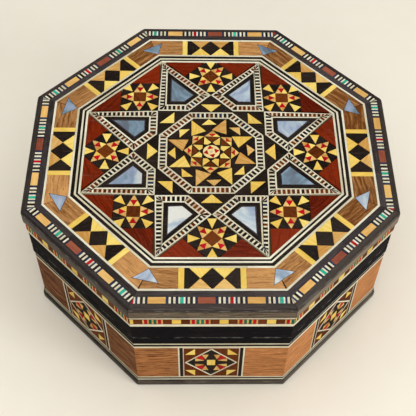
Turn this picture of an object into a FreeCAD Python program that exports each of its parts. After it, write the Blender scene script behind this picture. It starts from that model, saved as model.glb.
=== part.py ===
import FreeCAD, Part
import math
import os

# An eight-sided marquetry box with a hinged lid.
# Millimetres, +Z up, origin at the centre of the underside.
# Side 0 faces +X; sides and corners are numbered anticlockwise; side 2 is the back, side 6 the front.

# ---- driving dimensions ---------------------------------------------------
SIDES = 8
LID_EDGE = 100.0         # centre to the flat of the lid's edge moulding, so 200 mm across
TOTAL_HEIGHT = 86.4
SEAM_Z = 55.4            # height of the joint between box and lid
SEAM_GAP = 0.3

# distances from the centre to the flats of the walls
WALL_IN = 88.0
WALL_OUT = 97.0
VENEER_OUT = 98.1
RIM_OUT = 98.5
STRIP_OUT = 99.0
BASE_OUT = 99.4

# heights of the bands up the wall
BASE_TOP = 4.7
LOW_LINES_TOP = 8.6
PANEL_TOP = 42.7
RIM_BOTTOM = 48.2
LID_RIM_TOP = 67.7
STRIP_LINE = 2.3         # white line under and over the coloured strip of the lid
LID_STRIP_TOP = 77.4
RIM_CAP = 1.55           # thickness of the lacquered edging over the wall boards

# top of the lid
INLAY_DEPTH = 1.5
PANEL_EDGE = 96.5        # where the lid panel ends and the edge moulding begins
TICK_IN = 92.7
OUTER_LINE_OUT = 89.3
BAND_OUT = 88.1
BAND_IN = 76.0
LINE_STEPS = [76.0, 74.8, 73.0, 71.9, 70.8, 69.6]   # white, ebony, white, ebony, white
FIELD = 69.6             # the star field inside the lines
STAR_LINE = 30.3         # centre to each of the eight long lines of the star
LADDER = 4.85            # width of the ladder stringing
EBONY_EDGE = 2.0         # ebony between a ladder and its pearl
CENTRE_OUT = 29.25       # ladder octagon round the centre
TILE = 21.6              # side of a rosette tile
ROSETTE_HALF = 10.9      # half side of the two squares of the centre rosette
CROSSBAR_OUT = 17.0
CROSSBAR_IN = 14.0
PEARL_BASE = 13.4
PEARL_HEIGHT = 7.1
PEARL_SETBACK = 0.5
# each corner pearl was set by hand, so each leans a little differently, in degrees
PEARL_LEAN = [1.0, -3.0, 8.0, 11.0, 8.0, 9.0, 14.0, 8.0]

# side panels
MOSAIC_HALF = 14.6       # half width of the mosaic inside its frame
FRAME_STEPS = [0.6, 1.75, 0.85]   # cream, black and white lines, outwards

# lining
LINING_GAP = 0.3
LINING = 1.2
PAD_HEIGHT = 3.5
FELT_INSET = 0.25
FELT = 0.75

# hinges
HINGE_X = 24.0           # either side of the middle of the back
HINGE_LENGTH = 18.0
LEAF_DEPTH = 9.0
LEAF = 0.9
LEAF_GAP = 0.05          # each side of the seam plane
BARREL_R = 1.5
BARREL_ROOM = 0.3
PIN_R = 0.6
PIN_PLAY = 0.04
KNUCKLE_GAP = 0.2
SCREW_R = 0.75
SCREW_HEAD_R = 1.5
SCREW_LENGTH = 6.5
SCREW_X = 5.5
SCREW_Y_FROM_EDGE = 5.6

STEP = 360.0 / SIDES
HALF = STEP / 2.0
COS = math.cos(math.radians(HALF))
TAN = math.tan(math.radians(HALF))
INLAY_Z = TOTAL_HEIGHT - INLAY_DEPTH
FAR = 2.0 * LID_EDGE


# ---- plane geometry -------------------------------------------------------
def polar(radius, degrees):
    angle = math.radians(degrees)
    return (radius * math.cos(angle), radius * math.sin(angle))


def turned(points, degrees):
    cosine = math.cos(math.radians(degrees))
    sine = math.sin(math.radians(degrees))
    return [(x * cosine - y * sine, x * sine + y * cosine) for x, y in points]


def meet(angle_a, distance_a, angle_b, distance_b):
    """The point where two lines cross, each given by its normal's angle and its distance."""
    ax, ay = polar(1.0, angle_a)
    bx, by = polar(1.0, angle_b)
    cross = ax * by - ay * bx
    x = (distance_a * by - distance_b * ay) / cross
    y = (ax * distance_b - bx * distance_a) / cross
    return (x, y)


def octagon(flat):
    return [polar(flat / COS, HALF + side * STEP) for side in range(SIDES)]


# ---- solids ---------------------------------------------------------------
def prism(points, low, high):
    corners = [FreeCAD.Vector(x, y, low) for x, y in points]
    outline = Part.makePolygon(corners + [corners[0]])
    return Part.Face(outline).extrude(FreeCAD.Vector(0, 0, high - low))


def box(x0, x1, y0, y1, z0, z1):
    return Part.makeBox(x1 - x0, y1 - y0, z1 - z0, FreeCAD.Vector(x0, y0, z0))


def ring(inner, outer, low, high):
    return prism(octagon(outer), low, high).cut(prism(octagon(inner), low, high))


def strip(side, inner, outer, low, high):
    """One mitred length of a band that runs round the octagon."""
    ends = [(inner, -inner * TAN), (outer, -outer * TAN), (outer, outer * TAN), (inner, inner * TAN)]
    return prism(turned(ends, side * STEP), low, high)


def band(inner, outer, low, high):
    return [strip(side, inner, outer, low, high) for side in range(SIDES)]


def bar(side, inner, outer, start, end, low, high):
    """A straight-ended length of a band, from start to end along its side."""
    ends = [(inner, start), (outer, start), (outer, end), (inner, end)]
    return prism(turned(ends, side * STEP), low, high)


def mitred(whole, low, high):
    """Cuts a ring along the eight corner lines."""
    pieces = []
    for side in range(SIDES):
        wedge = [(0.0, 0.0), (FAR, -FAR * TAN), (FAR, FAR * TAN)]
        pieces.append(whole.common(prism(turned(wedge, side * STEP), low, high)))
    return pieces


def export(name, solids):
    shape = solids[0] if len(solids) == 1 else Part.makeCompound(solids)
    shape.exportStep(os.path.join("parts", name + ".step"))


# ---- hinge cut-outs -------------------------------------------------------
def hinge_places():
    return [-HINGE_X, HINGE_X]


def leaf_plate(centre, bottom, room=0.0):
    low = bottom - room
    high = bottom + LEAF + room
    half = HINGE_LENGTH / 2.0
    return box(centre - half, centre + half, RIM_OUT - LEAF_DEPTH, RIM_OUT, low, high)


def leaf_bottom(upper):
    if upper:
        return SEAM_Z + LEAF_GAP
    return SEAM_Z - LEAF_GAP - LEAF


def barrel(centre, length, radius):
    start = FreeCAD.Vector(centre - length / 2.0, RIM_OUT, SEAM_Z)
    return Part.makeCylinder(radius, length, start, FreeCAD.Vector(1, 0, 0))


def screw_at(x, y, head_z, direction):
    """A wood screw: a thin head flush with its leaf and a plain shank into the wood."""
    start = FreeCAD.Vector(x, y, head_z)
    along = FreeCAD.Vector(0, 0, direction)
    head = Part.makeCone(SCREW_HEAD_R, SCREW_R, LEAF, start, along)
    shank = Part.makeCylinder(SCREW_R, SCREW_LENGTH, start, along)
    return head.fuse(shank)


def screws(upper):
    bottom = leaf_bottom(upper)
    head_z = bottom if upper else bottom + LEAF
    direction = 1 if upper else -1
    y = RIM_OUT - SCREW_Y_FROM_EDGE
    made = []
    for centre in hinge_places():
        for side in (-1, 1):
            made.append(screw_at(centre + side * SCREW_X, y, head_z, direction))
    return made


def hinge_room(upper):
    """What the hinge takes out of the wood: the leaf's mortise, the barrel's groove and the screws."""
    tools = []
    for centre in hinge_places():
        tools.append(leaf_plate(centre, leaf_bottom(upper)))
        tools.append(barrel(centre, HINGE_LENGTH + 2 * BARREL_ROOM, BARREL_R + BARREL_ROOM))
    return tools + screws(upper)


def let_in(solids, upper):
    """Cuts the hinge's room out of those solids that it reaches, the ones on the back."""
    room = hinge_room(upper)
    cut = []
    for solid in solids:
        if solid.BoundBox.YMax > WALL_IN:
            for tool in room:
                if solid.distToShape(tool)[0] < 1e-6:
                    solid = solid.cut(tool)
        cut.append(solid)
    return cut


# ---- the box --------------------------------------------------------------
def floor_panel():
    return [prism(octagon(WALL_IN), FELT_INSET + FELT, BASE_TOP)]


def underside_felt():
    return [prism(octagon(WALL_IN - 0.5), FELT_INSET, FELT_INSET + FELT)]


def base_moulding():
    block = prism(octagon(BASE_OUT), 0.0, BASE_TOP)
    upright = [edge for edge in block.Edges if edge.BoundBox.ZLength > 1.0]
    block = block.makeFillet(2.0, upright)
    under = [e for e in block.Edges if e.BoundBox.ZMax < 1e-6]
    block = block.makeFillet(1.4, under)
    whole = block.cut(prism(octagon(WALL_IN), 0.0, BASE_TOP))
    return mitred(whole, 0.0, BASE_TOP)


def wall_boards():
    return let_in(band(WALL_IN, WALL_OUT, BASE_TOP, SEAM_Z - SEAM_GAP / 2 - RIM_CAP), upper=False)


def lines(low, high, white_share):
    """A white, a dark and a white line laid one above the other, as two sets of strips."""
    white = (high - low) * white_share
    whites = band(WALL_OUT, VENEER_OUT, low, low + white)
    whites += band(WALL_OUT, VENEER_OUT, high - white, high)
    darks = band(WALL_OUT, VENEER_OUT, low + white, high - white)
    return whites, darks


def side_panels():
    """Walnut either side of each mosaic, the mosaic, and the lines that frame it."""
    cream, black, white = FRAME_STEPS
    cream_out = MOSAIC_HALF + cream
    black_out = cream_out + black
    white_out = black_out + white
    low = LOW_LINES_TOP
    high = PANEL_TOP
    walnut, mosaic, creams, blacks, whites = [], [], [], [], []
    for side in range(SIDES):
        mosaic.append(bar(side, WALL_OUT, VENEER_OUT, -MOSAIC_HALF, MOSAIC_HALF, low + cream, high - cream))
        frame = bar(side, WALL_OUT, VENEER_OUT, -cream_out, cream_out, low, high)
        creams.append(frame.cut(mosaic[-1]))
        for hand in (-1, 1):
            near, far = sorted((hand * cream_out, hand * black_out))
            blacks.append(bar(side, WALL_OUT, VENEER_OUT, near, far, low, high))
            near, far = sorted((hand * black_out, hand * white_out))
            whites.append(bar(side, WALL_OUT, VENEER_OUT, near, far, low, high))
            ends = [(WALL_OUT, hand * white_out), (VENEER_OUT, hand * white_out)]
            ends += [(VENEER_OUT, hand * VENEER_OUT * TAN), (WALL_OUT, hand * WALL_OUT * TAN)]
            walnut.append(prism(turned(ends, side * STEP), low, high))
    return walnut, mosaic, creams, blacks, whites


def box_rim():
    top = SEAM_Z - SEAM_GAP / 2
    facing = ring(WALL_OUT, RIM_OUT, RIM_BOTTOM, top)
    cap = ring(WALL_IN, WALL_OUT, top - RIM_CAP, top)
    pieces = mitred(facing.fuse(cap).removeSplitter(), RIM_BOTTOM, top)
    return let_in(pieces, upper=False)


def wall_lining(low, high):
    outer = WALL_IN - LINING_GAP
    return band(outer - LINING, outer, low, high)


# ---- the lid --------------------------------------------------------------
def lid_boards():
    low = SEAM_Z + SEAM_GAP / 2 + RIM_CAP
    return let_in(band(WALL_IN, WALL_OUT, low, LID_STRIP_TOP), upper=True)


def lid_rim():
    bottom = SEAM_Z + SEAM_GAP / 2
    facing = ring(WALL_OUT, RIM_OUT, bottom, LID_RIM_TOP)
    cap = ring(WALL_IN, WALL_OUT, bottom, bottom + RIM_CAP)
    pieces = mitred(facing.fuse(cap).removeSplitter(), bottom, LID_RIM_TOP)
    return let_in(pieces, upper=True)


def lid_moulding():
    block = prism(octagon(LID_EDGE), LID_STRIP_TOP, TOTAL_HEIGHT)
    upright = [edge for edge in block.Edges if edge.BoundBox.ZLength > 1.0]
    block = block.makeFillet(3.0, upright)
    over = [e for e in block.Edges if e.BoundBox.ZMin > TOTAL_HEIGHT - 1e-6]
    block = block.makeFillet(2.0, over)
    whole = block.cut(prism(octagon(PANEL_EDGE), LID_STRIP_TOP, TOTAL_HEIGHT))
    return mitred(whole, LID_STRIP_TOP, TOTAL_HEIGHT)


def flat_band(outer, inner):
    return band(inner, outer, INLAY_Z, TOTAL_HEIGHT)


def corner_pearl(corner):
    """A pearl triangle whose point looks inwards at a corner of the walnut band."""
    middle = HALF + corner * STEP
    point = BAND_IN / COS + PEARL_SETBACK
    shape = [(0.0, 0.0), (PEARL_HEIGHT, -PEARL_BASE / 2), (PEARL_HEIGHT, PEARL_BASE / 2)]
    placed = [(x + point, y) for x, y in turned(shape, PEARL_LEAN[corner])]
    return prism(turned(placed, middle), INLAY_Z, TOTAL_HEIGHT)


def walnut_border():
    """The walnut pieces of the lid's border, the pearls let into them and what lies between."""
    pearls = [corner_pearl(corner) for corner in range(SIDES)]
    walnut, crossbars, panels = [], [], []
    for side in range(SIDES):
        for hand in (-1, 1):
            ends = [(BAND_IN, hand * CROSSBAR_OUT), (BAND_OUT, hand * CROSSBAR_OUT)]
            ends += [(BAND_OUT, hand * BAND_OUT * TAN), (BAND_IN, hand * BAND_IN * TAN)]
            piece = prism(turned(ends, side * STEP), INLAY_Z, TOTAL_HEIGHT)
            corner = side if hand > 0 else (side - 1) % SIDES
            walnut.append(piece.cut(pearls[corner]))
            near, far = sorted((hand * CROSSBAR_IN, hand * CROSSBAR_OUT))
            crossbars.append(bar(side, BAND_IN, BAND_OUT, near, far, INLAY_Z, TOTAL_HEIGHT))
        panels.append(bar(side, BAND_IN, BAND_OUT, -CROSSBAR_IN, CROSSBAR_IN, INLAY_Z, TOTAL_HEIGHT))
    return walnut, crossbars, panels, pearls


def kite(point, inset):
    """One point of the eight-pointed star, between four of the star's lines, drawn in by inset."""
    middle = HALF + point * STEP
    outer = STAR_LINE - inset
    inner = STAR_LINE + inset
    steep = 90.0 - HALF
    corners = [
        meet(middle + steep, outer, middle - steep, outer),
        meet(middle + steep, outer, middle - HALF, inner),
        meet(middle + HALF, inner, middle - HALF, inner),
        meet(middle - steep, outer, middle + HALF, inner),
    ]
    return prism(corners, INLAY_Z, TOTAL_HEIGHT)


def star_points():
    """The ladder border, the ebony and the pearl of each of the star's points."""
    field = prism(octagon(FIELD), INLAY_Z, TOTAL_HEIGHT)
    ladders, ebony, pearls = [], [], []
    for point in range(SIDES):
        whole = kite(point, 0.0).common(field)
        inside = kite(point, LADDER)
        pearl = kite(point, LADDER + EBONY_EDGE)
        ladders.append(whole.cut(inside))
        ebony.append(inside.cut(pearl))
        pearls.append(pearl)
    return ladders, ebony, pearls


def rosette_tiles():
    """Square tiles on their corners, and the two red triangles that flank each."""
    start = STAR_LINE * math.sqrt(2.0)
    half = TILE / math.sqrt(2.0)
    end = start + 2.0 * half - FIELD
    tiles, triangles = [], []
    for side in range(SIDES):
        outline = [(start, 0.0), (start + half, -half), (FIELD, -end), (FIELD, end), (start + half, half)]
        tiles.append(prism(turned(outline, side * STEP), INLAY_Z, TOTAL_HEIGHT))
        for hand in (-1, 1):
            outline = [(start + half, hand * half), (FIELD, hand * end), (FIELD, hand * (FIELD - start))]
            triangles.append(prism(turned(outline, side * STEP), INLAY_Z, TOTAL_HEIGHT))
    return tiles, triangles


def medial_triangle(side):
    """A light triangle in the ebony between two points of the star and the centre octagon."""
    crossing = STAR_LINE * math.sqrt(2.0)
    reach = (crossing - CENTRE_OUT) / 2.0
    outline = [(CENTRE_OUT + 0.6, 0.0), (crossing - reach, reach * 0.96), (crossing - reach, -reach * 0.96)]
    return prism(turned(outline, side * STEP), INLAY_Z, TOTAL_HEIGHT)


def ebony_ground():
    """Ebony from the star's inner corners to the centre octagon, round the light triangles."""
    outline = []
    for side in range(SIDES):
        outline.append(polar(STAR_LINE * math.sqrt(2.0), side * STEP))
        outline.append(polar(STAR_LINE / COS, side * STEP + HALF))
    triangles = [medial_triangle(side) for side in range(SIDES)]
    ground = prism(outline, INLAY_Z, TOTAL_HEIGHT).cut(prism(octagon(CENTRE_OUT), INLAY_Z, TOTAL_HEIGHT))
    return [ground.cut(Part.makeCompound(triangles))], triangles


def centre_pieces():
    """The star panel inside the centre octagon, and the rosette of two crossed squares let into it."""
    square = [(ROSETTE_HALF, -ROSETTE_HALF), (ROSETTE_HALF, ROSETTE_HALF)]
    square += [(-ROSETTE_HALF, ROSETTE_HALF), (-ROSETTE_HALF, -ROSETTE_HALF)]
    rosette = prism(square, INLAY_Z, TOTAL_HEIGHT)
    rosette = rosette.fuse(prism(turned(square, STEP), INLAY_Z, TOTAL_HEIGHT)).removeSplitter()
    panel = prism(octagon(CENTRE_OUT - LADDER), INLAY_Z, TOTAL_HEIGHT).cut(rosette)
    return [panel], [rosette]


# ---- the hinges -----------------------------------------------------------
def knuckle(centre, start, end, bore):
    """One knuckle of the barrel with the web that joins it to its leaf."""
    tube = barrel(centre + (start + end) / 2.0, end - start, BARREL_R)
    hole = barrel(centre + (start + end) / 2.0, end - start + 1.0, bore)
    return tube.cut(hole)


def hinge_leaves(upper):
    """A flat leaf with its share of the knuckles: the middle one above, the two outer ones below."""
    third = HINGE_LENGTH / 3.0
    half = HINGE_LENGTH / 2.0
    if upper:
        spans = [(-third / 2 + KNUCKLE_GAP / 2, third / 2 - KNUCKLE_GAP / 2)]
        bore = PIN_R + PIN_PLAY
    else:
        spans = [(-half, -third / 2 - KNUCKLE_GAP / 2), (third / 2 + KNUCKLE_GAP / 2, half)]
        bore = PIN_R
    leaves = []
    for centre in hinge_places():
        leaf = leaf_plate(centre, leaf_bottom(upper))
        leaf = leaf.cut(barrel(centre, HINGE_LENGTH + 2.0, BARREL_R + BARREL_ROOM))
        for start, end in spans:
            low = leaf_bottom(upper)
            web = box(centre + start, centre + end, RIM_OUT - 2.5, RIM_OUT, low, low + LEAF)
            web = web.cut(barrel(centre, HINGE_LENGTH + 2.0, (PIN_R + BARREL_R) / 2))
            leaf = leaf.fuse(web).fuse(knuckle(centre, start, end, bore))
        for screw in screws(upper):
            leaf = leaf.cut(screw)
        leaves.append(leaf.removeSplitter())
    return leaves


def hinge_pins():
    return [barrel(centre, HINGE_LENGTH, PIN_R) for centre in hinge_places()]


# ---- make everything ------------------------------------------------------
def make_box():
    export("floor_panel", floor_panel())
    export("underside_felt", underside_felt())
    export("base_moulding", base_moulding())
    for number, board in enumerate(wall_boards(), start=1):
        export("wall_board_" + str(number), [board])
    whites, darks = lines(BASE_TOP, LOW_LINES_TOP, 0.3)
    export("lower_white_lines", whites)
    export("lower_dark_line", darks)
    whites, darks = lines(PANEL_TOP, RIM_BOTTOM, 0.31)
    export("upper_white_lines", whites)
    export("upper_dark_line", darks)
    walnut, mosaic, creams, blacks, whites = side_panels()
    export("side_walnut", walnut)
    export("side_mosaics", mosaic)
    export("side_cream_frames", creams)
    export("side_black_lines", blacks)
    export("side_white_lines", whites)
    export("box_rim", box_rim())
    export("box_wall_lining", wall_lining(BASE_TOP + PAD_HEIGHT + 0.6, SEAM_Z - 1.6 - RIM_CAP))
    pad = WALL_IN - LINING_GAP * 2 - LINING
    export("floor_pad", [prism(octagon(pad), BASE_TOP + 0.1, BASE_TOP + 0.1 + PAD_HEIGHT)])


def make_lid():
    export("lid_boards", lid_boards())
    export("lid_rim", lid_rim())
    export("lid_moulding", lid_moulding())
    export("lid_panel", [prism(octagon(PANEL_EDGE), LID_STRIP_TOP, INLAY_Z)])
    low = LID_RIM_TOP + STRIP_LINE
    high = LID_STRIP_TOP - STRIP_LINE
    edge_lines = band(WALL_OUT, STRIP_OUT, LID_RIM_TOP, low)
    edge_lines += band(WALL_OUT, STRIP_OUT, high, LID_STRIP_TOP)
    export("lid_edge_white_lines", edge_lines)
    export("lid_edge_coloured_strip", band(WALL_OUT, STRIP_OUT, low, high))
    export("lid_wall_lining", wall_lining(SEAM_Z + 1.6 + RIM_CAP, LID_STRIP_TOP - PAD_HEIGHT - 0.6))
    pad = WALL_IN - LINING_GAP * 2 - LINING
    export("lid_pad", [prism(octagon(pad), LID_STRIP_TOP - 0.1 - PAD_HEIGHT, LID_STRIP_TOP - 0.1)])


def make_inlay():
    export("tick_border", flat_band(PANEL_EDGE, TICK_IN))
    export("dark_border", flat_band(TICK_IN, OUTER_LINE_OUT))
    export("outer_white_line", flat_band(OUTER_LINE_OUT, BAND_OUT))
    walnut, crossbars, panels, pearls = walnut_border()
    export("walnut_border", walnut)
    export("crossbars", crossbars)
    export("hourglass_panels", panels)
    export("corner_pearls", pearls)
    steps = list(zip(LINE_STEPS[:-1], LINE_STEPS[1:]))
    whites, darks = [], []
    for number, (outer, inner) in enumerate(steps):
        laid = darks if number % 2 else whites
        laid.extend(flat_band(outer, inner))
    export("inner_white_lines", whites)
    export("inner_ebony_lines", darks)
    ladders, ebony, kite_pearls = star_points()
    export("kite_ladders", ladders)
    export("kite_ebony", ebony)
    export("kite_pearls", kite_pearls)
    tiles, triangles = rosette_tiles()
    export("rosette_tiles", tiles)
    export("red_triangles", triangles)
    ground, light = ebony_ground()
    export("ebony_ground", ground)
    export("light_triangles", light)
    export("centre_ladder", band(CENTRE_OUT - LADDER, CENTRE_OUT, INLAY_Z, TOTAL_HEIGHT))
    panel, rosette = centre_pieces()
    export("centre_star_panel", panel)
    export("centre_rosette", rosette)


def make_hinges():
    export("hinge_leaves_lower", hinge_leaves(upper=False))
    export("hinge_leaves_upper", hinge_leaves(upper=True))
    export("hinge_pins", hinge_pins())
    export("hinge_screws_lower", screws(upper=False))
    export("hinge_screws_upper", screws(upper=True))


os.makedirs("parts", exist_ok=True)
make_box()
make_lid()
make_inlay()
make_hinges()
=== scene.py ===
# %% [markdown]
# # An inlaid wooden box
# The box is a small octagonal casket of the Damascus kind: plain boards underneath, and on top of them
# hundreds of thin slips of wood, bone and mother-of-pearl laid side by side like a puzzle and lacquered flat.
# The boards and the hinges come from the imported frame. This lesson adds the slips, the mouldings and rims,
# the velvet and every finish. It loads the frame first, because every later piece is placed from it.

# %% Load the frame
import math

import bpy
import numpy as np
from mathutils import Matrix, Vector


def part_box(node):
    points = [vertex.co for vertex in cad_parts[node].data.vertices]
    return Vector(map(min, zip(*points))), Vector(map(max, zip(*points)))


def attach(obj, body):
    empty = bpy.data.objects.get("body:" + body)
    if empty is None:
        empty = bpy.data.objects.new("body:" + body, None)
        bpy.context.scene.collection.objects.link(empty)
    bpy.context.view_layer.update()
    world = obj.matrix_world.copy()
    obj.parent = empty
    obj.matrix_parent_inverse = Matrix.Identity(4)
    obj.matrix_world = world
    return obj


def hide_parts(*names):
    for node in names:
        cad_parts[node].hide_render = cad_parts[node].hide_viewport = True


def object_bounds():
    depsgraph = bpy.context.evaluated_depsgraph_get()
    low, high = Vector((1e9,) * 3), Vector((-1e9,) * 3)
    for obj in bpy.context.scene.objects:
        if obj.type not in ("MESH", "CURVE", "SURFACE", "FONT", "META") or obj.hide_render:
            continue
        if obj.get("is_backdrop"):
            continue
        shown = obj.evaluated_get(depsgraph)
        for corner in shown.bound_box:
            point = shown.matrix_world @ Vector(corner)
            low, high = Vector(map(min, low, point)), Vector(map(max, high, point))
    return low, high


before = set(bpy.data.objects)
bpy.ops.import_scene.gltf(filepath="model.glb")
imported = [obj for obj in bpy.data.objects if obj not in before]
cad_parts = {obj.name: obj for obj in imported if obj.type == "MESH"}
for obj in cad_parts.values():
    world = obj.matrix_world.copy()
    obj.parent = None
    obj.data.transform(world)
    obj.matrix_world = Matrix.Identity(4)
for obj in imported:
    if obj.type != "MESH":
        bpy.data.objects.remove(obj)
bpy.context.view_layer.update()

# %% [markdown]
# ## Sizes
# A marquetry maker thinks in millimetres and in "flats", the distance from the middle of the octagon to one
# of its eight sides. Each flat is read from the frame, so a slip always lands where its node lies. Only the
# widths that belong to the drawing of a pattern are stated here.

# %% Sizes read from the frame
MM = 0.001
SIDES = 8
STEP = 2 * math.pi / SIDES
HALF = STEP / 2
COS, TAN = math.cos(HALF), math.tan(HALF)
ALL_SIDES = np.arange(SIDES)
TO_SIDES = 45.0 * ALL_SIDES
TO_CORNERS = 22.5 + TO_SIDES


def flat(node):
    """The flat of a node's outer edge, in millimetres."""
    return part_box(node)[1].x / MM


def level(node):
    """The lowest and the highest point of a node, in millimetres."""
    low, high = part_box(node)
    return low.z / MM, high.z / MM


FIELD = flat("red_triangles")
BAND_IN = flat("inner_white_lines")
BAND_OUT = flat("walnut_border")
LINE_OUT = flat("outer_white_line")
TICK_IN = flat("dark_border")
TICK_OUT = flat("tick_border")
CENTRE_OUT = flat("centre_ladder")
VENEER = flat("side_walnut")
LID_EDGE = flat("lid_edge_white_lines")
STAR_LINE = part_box("ebony_ground")[1].x / MM / math.sqrt(2)
INLAY_LOW, INLAY_TOP = level("red_triangles")
LADDER = 4.85
print("flats:", [round(value, 1) for value in (FIELD, BAND_IN, BAND_OUT, STAR_LINE)])

# %% [markdown]
# ## Small geometry helpers
# Points are kept in numpy arrays whose last axis is x and y, so that one line turns or moves hundreds of
# slips at once. Only three ideas are needed: turning, mirroring, and finding where two lines cross.

# %% Plane geometry


def turned(points, angle):
    """x' = x cos a - y sin a and y' = x sin a + y cos a; the angle may be an array."""
    points = np.asarray(points, float)
    c, s = np.cos(angle), np.sin(angle)
    x, y = points[..., 0], points[..., 1]
    return np.stack([x * c - y * s, x * s + y * c], -1)


def polar(radius, degrees):
    """The points at these radii and angles."""
    angle = np.radians(degrees)
    return np.stack(np.broadcast_arrays(radius * np.cos(angle), radius * np.sin(angle)), -1)


def meet(angle_a, distance_a, angle_b, distance_b):
    """Where two lines cross, each written as x cos a + y sin a = distance, by Cramer's rule."""
    ca, sa, cb, sb = math.cos(angle_a), math.sin(angle_a), math.cos(angle_b), math.sin(angle_b)
    cross = ca * sb - sa * cb
    return [(distance_a * sb - distance_b * sa) / cross, (ca * distance_b - cb * distance_a) / cross]


def both_hands(outlines, mirror=(1, -1)):
    """The outlines and their mirror images in the x axis."""
    outlines = np.asarray(outlines, float)
    return np.concatenate([outlines, outlines * mirror])


def mirrored(outlines):
    """The outlines and their left-right mirror images, which is the y axis."""
    return both_hands(outlines, (-1, 1))


def four_ways(outlines):
    """The outlines mirrored left and right, and up and down."""
    return mirrored(both_hands(outlines))


def area(outlines):
    """Half the sum of x(i) y(i+1) - x(i+1) y(i), positive when the outline runs anticlockwise."""
    x, y = outlines[..., 0], outlines[..., 1]
    return 0.5 * (x * np.roll(y, -1, -1) - np.roll(x, -1, -1) * y).sum(-1)


def drawn_in(outlines, inset):
    """Every edge moves in by inset: a corner moves by (n1 + n2) / (1 + n1.n2), n being the edges' normals."""
    edge = np.roll(outlines, -1, 1) - outlines
    edge = edge / np.maximum(np.linalg.norm(edge, axis=-1, keepdims=True), 1e-9)
    normal = np.stack([-edge[..., 1], edge[..., 0]], -1)
    before = np.roll(normal, 1, 1)
    share = (normal + before) / np.maximum(1 + (normal * before).sum(-1, keepdims=True), 0.15)
    return outlines + share * inset


# %% [markdown]
# ## One slip of inlay
# On the bench a slip is sawn from a rod or a sheet, pressed in beside its neighbours and sanded flush. In
# Blender each is a prism: an outline lifted from the panel to the surface, with its top edge taken off by a
# hair so that it catches light. The slips of one pattern and one wood make one mesh. Each slip remembers two
# things that a real one has: its own grain direction, stored as a UV map in centimetres, and its own shade,
# stored as an attribute called tone. The saw is never perfect, so each slip is drawn in by a random hair.

# %% The slip maker
GAP = 0.05
ARRIS = 0.05
FLUSH = 0.02
SMALLEST = 0.02
MM_PER_CM = 10
SHEET_CM = 60
hand = np.random.default_rng(1921)


def family(outlines, grain=0.0, tone=None, sides=ALL_SIDES, spread=8.0):
    """Slips of one shape family: outlines for one side, the grain's angle in degrees, the sides they go on."""
    outlines = np.asarray(outlines, float)
    outlines = outlines[None] if outlines.ndim == 2 else outlines
    outlines = outlines[np.abs(area(outlines)) > SMALLEST]
    outlines = np.where((area(outlines) < 0)[:, None, None], outlines[:, ::-1], outlines)
    sides = np.asarray(sides, float)
    count = len(outlines)
    everywhere = np.tile(outlines, (len(sides), 1, 1))
    side = np.repeat(sides, count)
    grains = np.radians(np.tile(np.broadcast_to(grain, count), len(sides)))
    grains = grains + np.radians(hand.normal(0, spread, len(side)))
    if tone is None:
        tones = hand.uniform(0, 1, len(side))
    else:
        tones = np.tile(np.broadcast_to(tone, count), len(sides)).astype(float)
    return everywhere, side, grains, tones


def slip_arrays(groups, low, high, wall):
    """Corners, faces, grain coordinates and tones of all slips, ring by ring from the back to the face."""
    corners, faces, grains, tones, start = [], [], [], [], 0
    for outlines, side, grain, tone in groups:
        count, n = outlines.shape[:2]
        gap = (hand.uniform(0.3, 1.0, count) * GAP)[:, None, None]
        shaken = outlines + hand.uniform(-0.3, 0.3, outlines.shape) * gap
        body = drawn_in(shaken, gap)
        top = drawn_in(body, ARRIS)
        rings = np.stack([body, body, top], 1)
        height = np.array([low, high - ARRIS, high])[None, :, None]
        height = np.broadcast_to(height, rings.shape[:3])
        if wall:
            flat_xy = np.stack([height, rings[..., 0]], -1)
            z = rings[..., 1]
        else:
            flat_xy, z = rings, height
        placed = turned(flat_xy, (side * STEP)[:, None, None])
        corners.append(np.concatenate([placed, z[..., None]], -1).reshape(-1, 3))
        middle = rings.mean((1, 2), keepdims=True)
        cut_from = hand.uniform(0, SHEET_CM, (count, 1, 1, 2))
        along = turned(rings - middle, -grain[:, None, None]) / MM_PER_CM + cut_from
        grains.append(along.reshape(-1, 2))
        tones.append(np.repeat(tone, 3 * n))
        first = start + np.arange(count)[:, None] * 3 * n
        around = np.arange(n)
        after = np.roll(around, -1)
        for ring in (0, n):
            quad = np.stack([around, after, after + n, around + n], -1) + ring
            faces += (first[:, :, None] + quad[None]).reshape(-1, 4).tolist()
        faces += (first + around[::-1]).tolist()
        faces += (first + around + 2 * n).tolist()
        start += count * 3 * n
    return np.concatenate(corners) * MM, faces, np.concatenate(grains), np.concatenate(tones)


def new_mesh(name, corners, faces, uv=None, tone=None, smooth=False):
    """A mesh from arrays, with an optional UV map named grain and an optional attribute named tone."""
    mesh = bpy.data.meshes.new(name)
    mesh.from_pydata(corners.tolist(), [], faces)
    if uv is not None:
        index = np.empty(len(mesh.loops), np.int32)
        mesh.loops.foreach_get("vertex_index", index)
        mesh.uv_layers.new(name="grain").data.foreach_set("uv", uv[index].ravel())
    if tone is not None:
        mesh.attributes.new("tone", "FLOAT", "POINT").data.foreach_set("value", tone)
    mesh.polygons.foreach_set("use_smooth", np.full(len(mesh.polygons), smooth))
    mesh.update()
    return mesh


def place(name, mesh, finish, body, *nodes):
    """Puts a finished mesh in the scene, on its body, in place of the nodes that it stands for."""
    piece = bpy.data.objects.new(name, mesh)
    bpy.context.scene.collection.objects.link(piece)
    mesh.materials.append(finishes[finish][0])
    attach(piece, body)
    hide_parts(*nodes)
    return piece


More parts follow.
